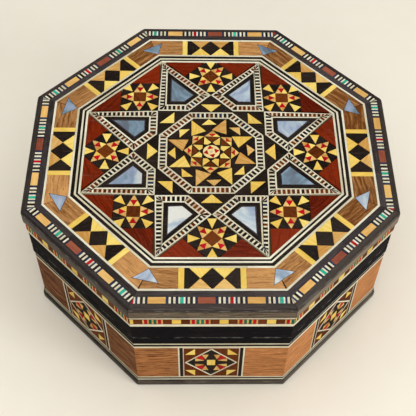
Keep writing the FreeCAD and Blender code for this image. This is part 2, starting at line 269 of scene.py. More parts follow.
def inlay(pattern, node, woods, low=None, high=None, wall=False, body="lid"):
    """Lays one pattern: woods maps a finish to its families, or to (families, how far under the surface)."""
    low = INLAY_LOW if low is None else low
    high = INLAY_TOP if high is None else high
    count = 0
    for finish, groups in woods.items():
        groups, under = groups if isinstance(groups, tuple) else (groups, FLUSH)
        name = f"{pattern}_{finish}"
        place(name, new_mesh(name, *slip_arrays(groups, low, high - under, wall)), finish, body, node)
        count += sum(len(group[0]) for group in groups)
    print(f"{pattern}: {count} slips of {', '.join(woods)}")


# %% [markdown]
# ## Shader tools
# Every wood here is the same idea with other numbers: a light and a dark colour mixed by long streaks, small
# dark pores, and a shade of its own for each slip. The streaks, the lacquer's faint scratches and the turning
# of the grain round the octagon are node groups, built once, so each wood only states its colours. A few
# helpers stand for the nodes that come back again and again, so a chain of nodes reads like a formula.

# %% Node helpers


def srgb(red, green, blue):
    """A colour as seen on a screen, turned into the linear light that a shader mixes."""
    value = np.array([red, green, blue]) / 255
    linear = np.where(value <= 0.04045, value / 12.92, ((value + 0.055) / 1.055) ** 2.4)
    return (*linear.tolist(), 1.0)


def feed(tree, sockets, values):
    """Links each value that is a socket and sets the others."""
    for key, value in values.items():
        if isinstance(value, bpy.types.NodeSocket):
            tree.links.new(value, sockets[key])
        else:
            sockets[key].default_value = value


def node(tree, kind, inputs=(), **settings):
    """Adds a shader node of one kind, makes its settings, then feeds its inputs."""
    made = tree.nodes.new("ShaderNode" + kind)
    for key, value in settings.items():
        setattr(made, key, value)
    feed(tree, made.inputs, dict(inputs))
    return made


def calc(tree, operation, *values, clamp=False):
    """One step of arithmetic on numbers."""
    return node(tree, "Math", dict(enumerate(values)), operation=operation, use_clamp=clamp).outputs[0]


def vector_calc(tree, operation, first, second):
    """One step of arithmetic on two vectors; SCALE takes a vector and a number."""
    key = "Scale" if operation == "SCALE" else 1
    return node(tree, "VectorMath", {0: first, key: second}, operation=operation).outputs[0]


def spanned(tree, value, low, high, to_low=0.0, to_high=1.0):
    """The span from low to high carried to another span, and held at its ends."""
    return node(tree, "MapRange", {0: value, 1: low, 2: high, 3: to_low, 4: to_high}).outputs[0]


def blend(tree, share, first, second):
    """Two colours mixed: a share of 0 gives the first and 1 the second."""
    return node(tree, "Mix", {0: share, 6: first, 7: second}, data_type="RGBA").outputs[2]


def noise(tree, vector, scale, detail=2.0, roughness=0.5, **more):
    """A noise texture's outputs: Fac is a value and Color a vector."""
    return node(tree, "TexNoise", {"Vector": vector, "Scale": scale, "Detail": detail, "Roughness": roughness,
                                   **more}).outputs


def mapped(tree, vector, scale, rotation=(0.0, 0.0, 0.0)):
    """A vector turned and scaled, so that a texture on it is drawn out along one axis."""
    return node(tree, "Mapping", {"Vector": vector, "Rotation": rotation, "Scale": scale}).outputs[0]


def object_space(tree):
    """The point on the object, in metres."""
    return node(tree, "TexCoord").outputs["Object"]


def group_tree(name, takes, gives):
    """A node group with named sockets: takes and gives map a name to Float, Vector or Color."""
    tree = bpy.data.node_groups.new(name, "ShaderNodeTree")
    for direction, sockets in (("INPUT", takes), ("OUTPUT", gives)):
        for key, kind in sockets.items():
            tree.interface.new_socket(name=key, in_out=direction, socket_type="NodeSocket" + kind)
    return tree, tree.nodes.new("NodeGroupInput").outputs, tree.nodes.new("NodeGroupOutput").inputs


def grouped(tree, group, **inputs):
    """Places a node group and returns its outputs; underscores in the inputs' names stand for spaces."""
    return node(tree, "Group", {key.replace("_", " "): value for key, value in inputs.items()},
                node_tree=group).outputs


# %% Wood grain as a group
TONE_LEAN = 0.42
PORE_BLACK = (0.012, 0.007, 0.004, 1.0)


def make_grain():
    """Streaks are noise drawn out along the grain and bent by a slower noise; pores are short dark dashes."""
    tree, takes, gives = group_tree(
        "wood_grain",
        {"Vector": "Vector", "Lines": "Float", "Stretch": "Float", "Waviness": "Float"},
        {"Streak": "Float", "Pores": "Float"},
    )
    centred = vector_calc(tree, "SUBTRACT", noise(tree, takes["Vector"], 0.9)["Color"], (0.5, 0.5, 0.5))
    bent = vector_calc(tree, "ADD", takes["Vector"], vector_calc(tree, "SCALE", centred, takes["Waviness"]))
    along = calc(tree, "DIVIDE", takes["Lines"], takes["Stretch"])
    scale = node(tree, "CombineXYZ", {0: along, 1: takes["Lines"], 2: takes["Lines"]}).outputs[0]
    drawn = vector_calc(tree, "MULTIPLY", bent, scale)
    streak = noise(tree, drawn, 1.0, 5.0, 0.62)["Fac"]
    pores = noise(tree, drawn, 4.5)["Fac"]
    feed(tree, gives, {"Streak": spanned(tree, streak, 0.3, 0.7), "Pores": spanned(tree, pores, 0.6, 0.74)})
    return tree


def make_wood_colour():
    """Mixes light and dark colour by the streaks, shifts them by the slip's tone and darkens the pores."""
    tree, takes, gives = group_tree(
        "wood_colour",
        {"Vector": "Vector", "Tone": "Float", "Light": "Color", "Dark": "Color", "Lines": "Float",
         "Stretch": "Float", "Waviness": "Float", "Pore Depth": "Float"},
        {"Color": "Color", "Height": "Float"},
    )
    shared = {key: takes[key] for key in ("Vector", "Lines", "Stretch", "Waviness")}
    figure = grouped(tree, grain_group, **shared)
    lean = spanned(tree, takes["Tone"], 0.0, 1.0, -TONE_LEAN, TONE_LEAN)
    share = calc(tree, "ADD", figure["Streak"], lean, clamp=True)
    depth = calc(tree, "MULTIPLY", figure["Pores"], takes["Pore Depth"])
    pored = blend(tree, depth, blend(tree, share, takes["Dark"], takes["Light"]), PORE_BLACK)
    feed(tree, gives, {"Color": pored, "Height": calc(tree, "SUBTRACT", 0.0, depth)})
    return tree


# %% Wear as two groups
GRIME_BROWN = (0.055, 0.03, 0.014, 1.0)
SCUFF_PALE = (0.36, 0.3, 0.22, 1.0)


def make_lacquer():
    """Wear of the coat: smears change the roughness, hairlines are sunk, grime tints and scuffs pale it."""
    tree, takes, gives = group_tree(
        "lacquer_wear", {"Vector": "Vector", "Roughness": "Float", "Color": "Color", "Amount": "Float"},
        {"Roughness": "Float", "Height": "Float", "Color": "Color"}
    )
    smear = noise(tree, takes["Vector"], 38.0, 4.0, 0.6)["Fac"]
    ripple = noise(tree, takes["Vector"], 160.0)["Fac"]
    drawn = mapped(tree, takes["Vector"], (90, 2600, 2600), (0.0, 0.3, 0.6))
    hairline = spanned(tree, noise(tree, drawn, 1.0, 1.0)["Fac"], 0.66, 0.76)
    smeared = calc(tree, "MULTIPLY", takes["Roughness"], spanned(tree, smear, 0.3, 0.75, 0.75, 1.45))
    grime = calc(tree, "MULTIPLY", spanned(tree, smear, 0.35, 0.8, 0.0, 0.3), takes["Amount"])
    aged = blend(tree, grime, takes["Color"], GRIME_BROWN)
    dust = spanned(tree, noise(tree, takes["Vector"], 900.0, 3.0, 0.7)["Fac"], 0.62, 0.78, 0.0, 0.22)
    scuffs = calc(tree, "MULTIPLY", calc(tree, "MULTIPLY_ADD", hairline, 0.16, dust), takes["Amount"])
    feed(tree, gives, {
        "Roughness": calc(tree, "MULTIPLY_ADD", hairline, 0.12, smeared, clamp=True),
        "Height": calc(tree, "MULTIPLY_ADD", hairline, -0.35, ripple),
        "Color": blend(tree, scuffs, aged, SCUFF_PALE),
    })
    return tree


def make_edge_wear_and_glint():
    """Rubbed places, and painted highlights along eased lips: a band of height about an edge, times a noise
    drawn out along the side.
    """
    tree, takes, gives = group_tree(
        "edge_wear_and_glint", {"Vector": "Vector", "Up": "Float", "Edge": "Float", "Reach": "Float", "Share": "Float"},
        {"Mask": "Float"}
    )
    away = calc(tree, "ABSOLUTE", calc(tree, "SUBTRACT", takes["Up"], takes["Edge"]))
    near = spanned(tree, away, takes["Reach"], 0.0)
    drawn = mapped(tree, takes["Vector"], (1.6, 4.0, 9.0))
    dashes = spanned(tree, noise(tree, drawn, 1.0, 4.0, 0.7)["Fac"], takes["Share"], 0.72)
    feed(tree, gives, {"Mask": calc(tree, "MULTIPLY", near, dashes, clamp=True)})
    return tree


# %% The octagon as a group
CM_PER_M = 100.0
BETWEEN_SIDES = 37.0


def make_round_the_octagon():
    """Turns a point back to side 0, by the nearest multiple of 45 degrees, and marks the mitres."""
    tree, takes, gives = group_tree("round_the_octagon", {"Vector": "Vector"},
                                    {"Vector": "Vector", "Side": "Float", "Mitre": "Float", "Up": "Float"})
    parts = node(tree, "SeparateXYZ", {0: takes["Vector"]}).outputs
    side = calc(tree, "ROUND", calc(tree, "DIVIDE", calc(tree, "ARCTAN2", parts[1], parts[0]), STEP))
    angle = calc(tree, "MULTIPLY", side, -STEP)
    back = node(tree, "VectorRotate", {"Vector": takes["Vector"], "Angle": angle}, rotation_type="Z_AXIS")
    out, along, up = node(tree, "SeparateXYZ", {0: back.outputs[0]}).outputs
    shifted = calc(tree, "MULTIPLY_ADD", along, CM_PER_M, calc(tree, "MULTIPLY", side, BETWEEN_SIDES))
    out_cm, up_cm = (calc(tree, "MULTIPLY", socket, CM_PER_M) for socket in (out, up))
    grain_place = node(tree, "CombineXYZ", {0: shifted, 1: out_cm, 2: up_cm}).outputs[0]
    to_mitre = calc(tree, "MULTIPLY_ADD", out, -TAN, calc(tree, "ABSOLUTE", along))
    mitre = spanned(tree, to_mitre, -0.0003, -0.00005)
    feed(tree, gives, {"Vector": grain_place, "Side": side, "Mitre": mitre, "Up": up})
    return tree


grain_group = make_grain()
wood_group = make_wood_colour()
lacquer_group = make_lacquer()
edge_group = make_edge_wear_and_glint()
octagon_group = make_round_the_octagon()
print("node groups:", [group.name for group in bpy.data.node_groups])

# %% [markdown]
# ## The finishes
# Fruitwoods give the yellows, walnut the border, ebony the black, and dyed woods the reds, greens and blues.
# Bone makes the white lines. All of it lies under a clear lacquer, which is why every wood gets its coat and
# its wear from one function, and differs in how much of each it has.

# %% Finish makers
finishes = {}
MITRE_BLACK = (0.006, 0.005, 0.004, 1.0)
RIPPLE_SHARE = 0.25
WOOD_RELIEF = 0.00006
# painted shade and light: whole rings are darker on the left front and right back sides and lighter on the
# right front and left back ones
SIDE_LIGHT_SWING = 0.42


def new_finish(name, slot):
    """A material with a Principled shader; returns its tree and the shader."""
    material = bpy.data.materials.new(name)
    material.use_nodes = True
    tree = material.node_tree
    finishes[name] = (material, slot)
    return tree, tree.nodes["Principled BSDF"]


def bumped(tree, height, strength, distance):
    """A normal that rises and falls with the height."""
    return node(tree, "Bump", {"Height": height, "Strength": strength, "Distance": distance}).outputs[0]


def lacquered(tree, shader, colour, roughness, height, distance, coat=0.1, gloss=0.0, wear_amount=0.8):
    """Adds the clear coat, its wear and a bump made of the wood's pores and the lacquer's ripple."""
    wear = grouped(tree, lacquer_group, Vector=object_space(tree), Roughness=roughness, Color=colour,
                   Amount=wear_amount)
    total = calc(tree, "MULTIPLY_ADD", wear["Height"], RIPPLE_SHARE, height)
    feed(tree, shader.inputs, {
        "Coat Weight": coat, "Coat Roughness": 0.1, "Coat IOR": 1.45, "Specular IOR Level": gloss,
        "Base Color": wear["Color"], "Roughness": wear["Roughness"],
        "Normal": bumped(tree, total, 0.35, distance),
    })


def slip_grain(tree):
    """A slip's own grain coordinates and its own tone."""
    vector = node(tree, "UVMap", uv_map="grain").outputs[0]
    return vector, node(tree, "Attribute", attribute_name="tone").outputs["Fac"]


def wood(name, slot, light, dark, lines=9.0, stretch=9.0, waviness=0.25, pores=0.35, roughness=0.32, coat=0.1,
         own_grain=True, stain_and_shade=None, rubs_and_glints=(), wear_amount=0.8):
    """A lacquered wood. Slips carry their own grain in a UV map. A whole ring takes it from round the octagon,
    its tone swings as 0.5 + 0.42 sin(side * 90 + 180 degrees), painted shade on the left front and right back
    sides and painted light on the right front and left back ones, it is dark in its mitres, may be darkened
    above a height (a stain on the plywood, painted shade on the moulding's top), and is made pale in dashes
    about the heights of its edges (wear on the mouldings; on the black lacquer a painted highlight along the
    seam and pale dashes at its other edges)."""
    tree, shader = new_finish(name, slot)
    if own_grain:
        vector, tone = slip_grain(tree)
    else:
        ring = grouped(tree, octagon_group, Vector=object_space(tree))
        vector = ring["Vector"]
        # painted shade and light: the ring's tone by side, lowest on the left front and right back, highest on
        # the right front and left back
        side_light = calc(tree, "SINE", calc(tree, "MULTIPLY_ADD", ring["Side"], math.pi / 2, math.pi))
        tone = calc(tree, "MULTIPLY_ADD", side_light, SIDE_LIGHT_SWING, 0.5)
    grain = grouped(tree, wood_group, Vector=vector, Tone=tone, Light=srgb(*light), Dark=srgb(*dark),
                    Lines=lines, Stretch=stretch, Waviness=waviness, Pore_Depth=pores)
    colour = grain["Color"]
    # darkening above a height: a stain on the plywood, painted shade on the moulding's top
    if stain_and_shade:
        above, stain_and_shade_colour = stain_and_shade
        reached = spanned(tree, ring["Up"], (above - 0.5) * MM, (above + 0.3) * MM, 0.0, 0.85)
        colour = blend(tree, reached, colour, srgb(*stain_and_shade_colour))
    # pale dashes about edges: wear on the mouldings; on the black lacquer a painted highlight along the seam's
    # lip and pale dashes at its other edges
    for edge, reach, share, pale in rubs_and_glints:
        wear = grouped(tree, edge_group, Vector=vector, Up=ring["Up"], Edge=edge * MM, Reach=reach * MM,
                       Share=share)
        colour = blend(tree, wear["Mask"], colour, srgb(*pale))
    if not own_grain:
        colour = blend(tree, ring["Mitre"], colour, MITRE_BLACK)
    lacquered(tree, shader, colour, roughness, grain["Height"], WOOD_RELIEF, coat, wear_amount=wear_amount)


# %% The woods
wood("lemonwood", "lemonwood", (252, 224, 122), (234, 190, 84), lines=7, pores=0.12)
wood("pearwood", "lemonwood", (236, 194, 118), (200, 144, 70), lines=8, pores=0.25)
wood("sycamore", "marquetry", (246, 224, 158), (230, 198, 122), lines=8, pores=0.1)
wood("walnut", "walnut", (210, 154, 94), (108, 60, 22), stretch=12, pores=0.95)
wood("side_walnut_wood", "walnut", (222, 149, 90), (78, 37, 12), lines=13, stretch=24, waviness=0.2,
     pores=0.95, coat=0.12)
wood("ebony", "ebony", (42, 34, 31), (17, 14, 13), lines=10, pores=0.3, roughness=0.36)
wood("blue_ebony", "ebony", (72, 66, 68), (36, 33, 35), lines=12, stretch=16, pores=0.4, roughness=0.36)
wood("redwood", "redwood", (134, 42, 12), (84, 16, 2), stretch=16, waviness=0.3, pores=0.45)
wood("brownwood", "marquetry", (116, 56, 18), (78, 32, 6), pores=0.4)
wood("dyed_red", "marquetry", (206, 18, 36), (158, 8, 22), pores=0.15)
wood("dyed_navy", "marquetry", (44, 62, 92), (22, 32, 52), pores=0.1)
wood("dyed_teal", "marquetry", (48, 196, 164), (26, 152, 128), pores=0.1)
wood("dyed_green", "marquetry", (18, 122, 92), (8, 76, 60), pores=0.15)
wood("brick", "marquetry", (164, 92, 68), (128, 62, 46), lines=14)
wood("apricot", "marquetry", (242, 198, 122), (218, 164, 88), lines=8, pores=0.15)
wood("bone", "bone", (245, 240, 216), (210, 200, 168), lines=12, stretch=14, pores=0.2, roughness=0.28)
wood("rosy_bone", "bone", (230, 212, 184), (196, 166, 134), lines=12, stretch=5, pores=0.25, roughness=0.3)
print("finishes so far:", len(finishes))

# %% [markdown]
# ## Mother-of-pearl
# Nacre is layer on layer of thin plates. Its cut face shows soft cloudy bands of blue-grey, silver and a
# breath of green and rose. Bands made from a bent noise, mixed through five pale colours, give that without
# painting anything by the eye's position; the strong clean coat gives the flash.

# %% Nacre
PEARL_RAMP = [(0.0, (94, 104, 118)), (0.25, (116, 144, 162)), (0.5, (152, 166, 192)), (0.72, (180, 196, 206)),
              (1.0, (224, 224, 216))]
PEARL_SWING = 0.34


def nacre():
    """Cloud bands: a slow noise bends a drawn-out one, whose value picks a pale colour from a ramp."""
    tree, shader = new_finish("pearl", "pearl")
    vector, tone = slip_grain(tree)
    cloud = vector_calc(tree, "SCALE", noise(tree, vector, 0.9)["Color"], 1.1)
    layers = mapped(tree, vector_calc(tree, "ADD", vector, cloud), (0.4, 1.9, 1.0))
    bands = noise(tree, layers, 1.0, 3.0, 0.45)["Fac"]
    swing = spanned(tree, bands, 0.3, 0.7, -PEARL_SWING, PEARL_SWING)
    ramp = node(tree, "ValToRGB", {0: calc(tree, "ADD", tone, swing, clamp=True)})
    stops = ramp.color_ramp.elements
    stops[0].position, stops[1].position = PEARL_RAMP[0][0], PEARL_RAMP[-1][0]
    stops[0].color, stops[1].color = srgb(*PEARL_RAMP[0][1]), srgb(*PEARL_RAMP[-1][1])
    for position, colour in PEARL_RAMP[1:-1]:
        stops.new(position).color = srgb(*colour)
    lacquered(tree, shader, ramp.outputs[0], 0.2, bands, 0.00004, 0.5, 0.4)
    shader.inputs["Sheen Weight"].default_value = 0.1


nacre()

# %% Mouldings, boards and black lacquer
# Each of these goes round the whole box, so its grain comes from the octagon and not from a slip, and so does
# its tone by side, which paints shade on the left front and light on the right front. The darkened tops (a
# stain on the plywood, painted shade on the moulding) and the pale bands (wear on the mouldings; on the black
# lacquer a painted highlight along the seam and pale dashes at its other edges) are given by their heights in
# millimetres.
# painted shade: the moulding's top is made dark bluish grey above 83.6 mm
wood("moulding_wood", "dark_moulding", (136, 119, 97), (36, 30, 25), lines=14, stretch=30, waviness=0.3,
     pores=0.7, roughness=0.3, coat=0.3, own_grain=False, stain_and_shade=(83.6, (37, 34, 38)),
     rubs_and_glints=[(84.6, 1.0, 0.5, (150, 144, 134)), (77.9, 0.7, 0.55, (140, 128, 108))])
wood("base_wood", "dark_moulding", (90, 81, 70), (28, 25, 24), lines=14, stretch=30, waviness=0.3, pores=0.7,
     roughness=0.3, coat=0.3, own_grain=False, rubs_and_glints=[(3.9, 0.8, 0.5, (136, 126, 110))])
wood("board", "board_wood", (206, 152, 98), (158, 102, 58), lines=4, stretch=14, waviness=0.5, pores=0.4,
     roughness=0.5, own_grain=False)
wood("plywood", "plywood", (214, 178, 128), (178, 138, 90), lines=5, stretch=12, pores=0.3, roughness=0.55,
     coat=0.0, own_grain=False, stain_and_shade=(84.0, (24, 18, 12)))
# the pale dashes at 54.7 mm are a painted highlight along the box rim's eased lip at the seam; the others are
# pale dashes along the band's lower and upper edges
wood("black_lacquer", "black_lacquer", (17, 16, 21), (8, 8, 11), stretch=20, pores=0.15, roughness=0.25,
     coat=0.07, own_grain=False, wear_amount=0.3,
     rubs_and_glints=[(54.7, 0.45, 0.5, (132, 130, 124)), (48.5, 0.4, 0.56, (96, 92, 84)),
             (67.4, 0.4, 0.6, (96, 92, 84))])

# %% Brass and cloth


def brass():
    """Turned and rubbed brass: brushed noise in the roughness, darker tarnish where the noise is low."""
    tree, shader = new_finish("brass", "brass")
    space = object_space(tree)
    bright = spanned(tree, noise(tree, space, 420.0, 4.0)["Fac"], 0.35, 0.65)
    lines = noise(tree, mapped(tree, space, (600, 9000, 9000)), 1.0)["Fac"]
    feed(tree, shader.inputs, {
        "Metallic": 1.0, "Base Color": blend(tree, bright, srgb(150, 108, 48), srgb(226, 188, 110)),
        "Roughness": spanned(tree, lines, 0.0, 1.0, 0.2, 0.42), "Normal": bumped(tree, lines, 0.25, 0.00004),
    })


def cloth(name, slot, light, dark, pile, sheen):
    """Velvet or felt: 0.3 of a slow noise, the brushed patches, and 0.7 of a fine one, the fibres, mix light
    and dark."""
    tree, shader = new_finish(name, slot)
    space = object_space(tree)
    patches = noise(tree, space, 28.0, Distortion=0.6)["Fac"]
    fibres = noise(tree, space, pile, 3.0, 0.7)["Fac"]
    brushed = calc(tree, "MULTIPLY_ADD", fibres, 0.7, calc(tree, "MULTIPLY", patches, 0.3))
    feed(tree, shader.inputs, {
        "Base Color": blend(tree, spanned(tree, brushed, 0.36, 0.62), srgb(*dark), srgb(*light)),
        "Roughness": spanned(tree, patches, 0.0, 1.0, 0.82, 0.98), "Specular IOR Level": 0.15,
        "Sheen Weight": sheen, "Sheen Roughness": 0.35, "Sheen Tint": srgb(*light),
        "Normal": bumped(tree, fibres, 0.6, 0.0003),
    })


brass()
cloth("velvet", "velvet", (150, 24, 42), (84, 8, 20), 2600.0, 0.7)
cloth("felt", "felt", (52, 78, 64), (26, 42, 34), 1800.0, 0.3)

# %% Finishes for the frame's own nodes
# Only the boards, the plywood panels and the hinges keep the frame's shapes.
FRAME_FINISHES = {
    "board": ["lid_boards", *[f"wall_board_{number}" for number in range(1, SIDES + 1)]],
    "plywood": ["floor_panel", "lid_panel"],
    "brass": ["hinge_leaves_lower", "hinge_leaves_upper", "hinge_pins", "hinge_screws_lower",
              "hinge_screws_upper"],
}
for finish, names in FRAME_FINISHES.items():
    for name in names:
        for material_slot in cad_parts[name].material_slots:
            material_slot.material = finishes[finish][0]
print("finished frame nodes:", sum(len(names) for names in FRAME_FINISHES.values()))

# %% [markdown]
# ## Bands round the lid
# The simplest pattern is a straight stick, mitred at both ends: a quadrilateral whose ends follow the lines
# from the middle of the octagon to its corners. White and black sticks laid side by side make the fine lines.
# A stick is rarely as long as a side, so each side has one butt joint somewhere along it.

# %% Sticks and lines


def stick(inner, outer):
    """A mitred length between two flats: at flat f the mitre lies at f tan 22.5."""
    return [[inner, -inner * TAN], [outer, -outer * TAN], [outer, outer * TAN], [inner, inner * TAN]]


def jointed(inner, outer):
    """Eight sticks, each in two lengths that butt at a random place."""
    groups = []
    for side in ALL_SIDES:
        at = hand.uniform(-0.6, 0.6) * inner * TAN
        halves = [[[inner, -inner * TAN], [outer, -outer * TAN], [outer, at], [inner, at]],
                  [[inner, at], [outer, at], [outer, outer * TAN], [inner, inner * TAN]]]
        groups.append(family(halves, grain=90, sides=[side], spread=1))
    return groups


LINE_WIDTHS = [1.2, 1.8, 1.1, 1.1, 1.2]
edges = BAND_IN - np.concatenate([[0.0], np.cumsum(LINE_WIDTHS)])
white_lines = [jointed(edges[i + 1], edges[i]) for i in (0, 2, 4)]
ebony_lines = [jointed(edges[i + 1], edges[i]) for i in (1, 3)]
inlay("inner_lines_white", "inner_white_lines", {"bone": sum(white_lines, [])})
inlay("inner_lines_black", "inner_ebony_lines", {"ebony": sum(ebony_lines, [])})
inlay("outer_line", "outer_white_line", {"bone": jointed(BAND_OUT, LINE_OUT)})
inlay("border", "dark_border", {"blue_ebony": jointed(LINE_OUT, TICK_IN)})

# %% [markdown]
# ## The tick border
# The maker glues coloured sheets into a loaf, slices it across and gets a stick with the same ticks again
# and again: a brick-red block, a run of white and navy ticks round one red tick, an apricot block, and a
# run round one teal tick. The stick is cut to each side's length, so the run starts at another place on
# every side. One array of widths gives all the edges as a running sum, and the ends are clipped to the
# mitres.

# %% Ticks
RUN = [1.4, 1.2, 1.05, 1.2, 1.3, 0.95, 1.6, 0.95, 1.05, 1.2, 1.4, 1.1, 1.2]
# the star stands for the tick that is red in one run and teal in the other
RUN_WOODS = ["dyed_navy", "bone", "ebony", "bone", "dyed_navy", "bone", "*",
             "bone", "dyed_navy", "bone", "ebony", "bone", "dyed_navy"]
BLOCK = 8.8
SMALLEST_TICK = 0.05


def clipped(starts, ends, low, high, low_span, high_span):
    """Rectangles from start to end between two edges, each corner kept inside the span of its edge."""
    corners = [np.clip(starts, *low_span), np.clip(ends, *low_span),
               np.clip(ends, *high_span), np.clip(starts, *high_span)]
    across = [low, low, high, high]
    pairs = [np.stack([np.full_like(along, edge), along], -1) for along, edge in zip(corners, across)]
    return np.stack(pairs, 1)


def tick_stick(shift, low, high, widths, woods):
    """The slips of one side, sorted by wood: widths repeat along the stick from shift."""
    period = sum(widths)
    repeats = range(-2, 3)
    edges = np.cumsum([0.0, *widths])
    starts = np.concatenate([edges[:-1] + shift + turn * period for turn in repeats])
    ends = np.concatenate([edges[1:] + shift + turn * period for turn in repeats])
    outlines = clipped(starts, ends, low, high, (-low * TAN, low * TAN), (-high * TAN, high * TAN))
    names = np.array(list(woods) * len(repeats))
    return {name: outlines[names == name] for name in dict.fromkeys(woods)}


def sticks_round(widths, woods, low, high, centre, shifts, wall=False, rows=None):
    """One stick on each side; returns the families of each wood."""
    groups = {}
    for side, shift in zip(ALL_SIDES, shifts):
        cut = tick_stick(centre + shift, low, high, widths, woods)
        for name, outlines in cut.items():
            if wall:
                height = np.where(outlines[..., 0] == low, rows[0], rows[1])
                outlines = np.stack([outlines[..., 1], height], -1)
            if (np.abs(area(outlines)) > SMALLEST_TICK).any():
                slips = family(outlines, grain=0 if wall else 90, sides=[side], spread=3)
                groups.setdefault(name, []).append(slips)
    return groups


widths = [BLOCK, *RUN, BLOCK, *RUN]
red_run, teal_run = ([wood_name.replace("*", dye) for wood_name in RUN_WOODS]
                     for dye in ("dyed_red", "dyed_teal"))
woods = ["brick", *red_run, "apricot", *teal_run]
shifts = hand.uniform(-2.0, 2.0, SIDES)
inlay("ticks", "tick_border", sticks_round(widths, woods, TICK_IN + 0.1, TICK_OUT, centre=-8.0, shifts=shifts))

# %% [markdown]
# ## The walnut border
# Sixteen walnut slips run from the corners to a pair of yellow crossbars on each side. Between the crossbars
# lies an hourglass: a black diamond, four yellow triangles that meet in pairs, and black ends. A triangle of
# pearl is set over each corner, by eye, so each one leans by a different amount.

# %% Walnut, crossbars and hourglasses
CROSSBAR_OUT = 17.0
CROSSBAR_IN = 14.0
KNOT = 6.0
WING = 5.65
middle = (BAND_IN + BAND_OUT) / 2
near, far = BAND_IN, BAND_OUT
walnut_slip = [[near, CROSSBAR_OUT], [far, CROSSBAR_OUT], [far, far * TAN], [near, near * TAN]]
crossbar = [[near, CROSSBAR_IN], [far, CROSSBAR_IN], [far, CROSSBAR_OUT], [near, CROSSBAR_OUT]]
# the walnut slips before and after the crossbars of each side, from dark 0 to light 1
SLIP_TONES = [(0.0, 0.15), (0.2, 0.15), (0.6, 0.85), (0.5, 0.15), (0.95, 0.4), (0.95, 0.5), (1.0, 0.5),
              (0.1, 0.5)]
border_slips = [family(both_hands([walnut_slip]), grain=90, tone=tones, sides=[side], spread=3)
                for side, tones in zip(ALL_SIDES, SLIP_TONES)]
MITRE_GAPS = hand.uniform(0.25, 1.0, SIDES)
gaps = [family(turned([[near / COS, 0.0], [far / COS, -gap / 2], [far / COS, gap / 2]], HALF), sides=[side])
        for side, gap in zip(ALL_SIDES, MITRE_GAPS)]
inlay("border_slips", "walnut_border", {"walnut": (border_slips, 0.03), "ebony": gaps})
inlay("crossbars", "crossbars", {"lemonwood": [family(both_hands([crossbar]))]})

outer_wing = [[far, KNOT - WING], [middle, KNOT], [far, KNOT + WING]]
inner_wing = [[near, KNOT - WING], [near, KNOT + WING], [middle, KNOT]]
diamond = [[near, 0.0], [middle, -KNOT + 0.3], [far, 0.0], [middle, KNOT - 0.3]]
black_end = [[near, KNOT + WING], [near, CROSSBAR_IN], [far, CROSSBAR_IN], [far, KNOT + WING],
             [middle, KNOT + 0.2]]
inlay("hourglass", "hourglass_panels", {
    "lemonwood": [family(both_hands([inner_wing]), grain=20)],
    "pearwood": [family(both_hands([outer_wing]), grain=70)],
    "ebony": [family([diamond], grain=90), family(both_hands([black_end]))],
})

# %% Corner pearls
PEARL_BASE = 13.4
PEARL_HEIGHT = 7.1
PEARL_LEAN = [1.0, -3.0, 8.0, 11.0, 8.0, 9.0, 14.0, 8.0]
PEARL_TONES = [0.22, 0.3, 0.34, 0.34, 0.38, 0.62, 0.58, 0.66]
GLUE_LINE = 0.22
point = BAND_IN / COS + 0.5
triangle = np.array([[0.0, 0.0], [PEARL_HEIGHT, -PEARL_BASE / 2], [PEARL_HEIGHT, PEARL_BASE / 2]])
pearls = [family(turned(turned(triangle, math.radians(lean)) + [point, 0], HALF), 60, tone, [side], 40)
          for side, lean, tone in zip(ALL_SIDES, PEARL_LEAN, PEARL_TONES)]
glue_lines = [(drawn_in(outlines, -GLUE_LINE), *rest) for outlines, *rest in pearls]
inlay("corner", "corner_pearls", {"pearl": (pearls, 0.0), "ebony": (glue_lines, 0.012)})

# %% [markdown]
# ## Ladder stringing
# The star's points and the centre octagon are edged with a ladder: a white line, a row of dark and light
# rungs, and another white line. It is sliced from a loaf too and bent round nothing: each length is
# straight and mitred. Given the outline of the ladder's outer edge and that of its inner edge, the rungs of
# one length are rectangles at an even pitch, clipped to the mitres. Slivers too small to saw are left out,
# and the ebony bed shows there. A length is mostly of black rungs or mostly of brown ones, with now and
# then a navy one.

# %% The ladder maker
RAIL = 0.88
PITCH = 2.55
RUNG = 1.5
SLIVER = 0.9
# the shares of brown and of rosy rungs in a warm length and in a plain one
WARM_LENGTH, PLAIN_LENGTH = (0.85, 0.6), (0.12, 0.15)
PLAIN_SHARE = 0.75
NAVY_SHARE = 0.05
BED_UNDER = 0.15


def between(outer, inner):
    """The quadrilaterals between two outlines with the same corners."""
    outer, inner = np.asarray(outer, float), np.asarray(inner, float)
    return np.stack([outer, np.roll(outer, -1, 0), np.roll(inner, -1, 0), inner], 1)


def rungs(outer, inner):
    """For each length: its dark rungs and its light rungs, in the plane."""
    lengths = []
    for a, b, c, d in between(outer, inner):
        along = (b - a) / np.linalg.norm(b - a)
        across = np.array([-along[1], along[0]])
        depth = (d - a) @ across
        span_out = (0.0, np.linalg.norm(b - a))
        span_in = ((d - a) @ along, (c - a) @ along)
        low = min(span_out[0], span_in[0])
        starts = np.arange(low - hand.uniform(0, PITCH), max(span_out[1], span_in[1]), PITCH)
        pair = []
        for start, end in ((0.0, RUNG), (RUNG, PITCH)):
            quads = clipped(starts + start, starts + end, 0.0, depth, span_out, span_in)
            quads = quads[np.abs(area(quads)) > SLIVER]
            pair.append(a + quads[..., 1:] * along + quads[..., :1] * across)
        lengths.append(pair)
    return lengths


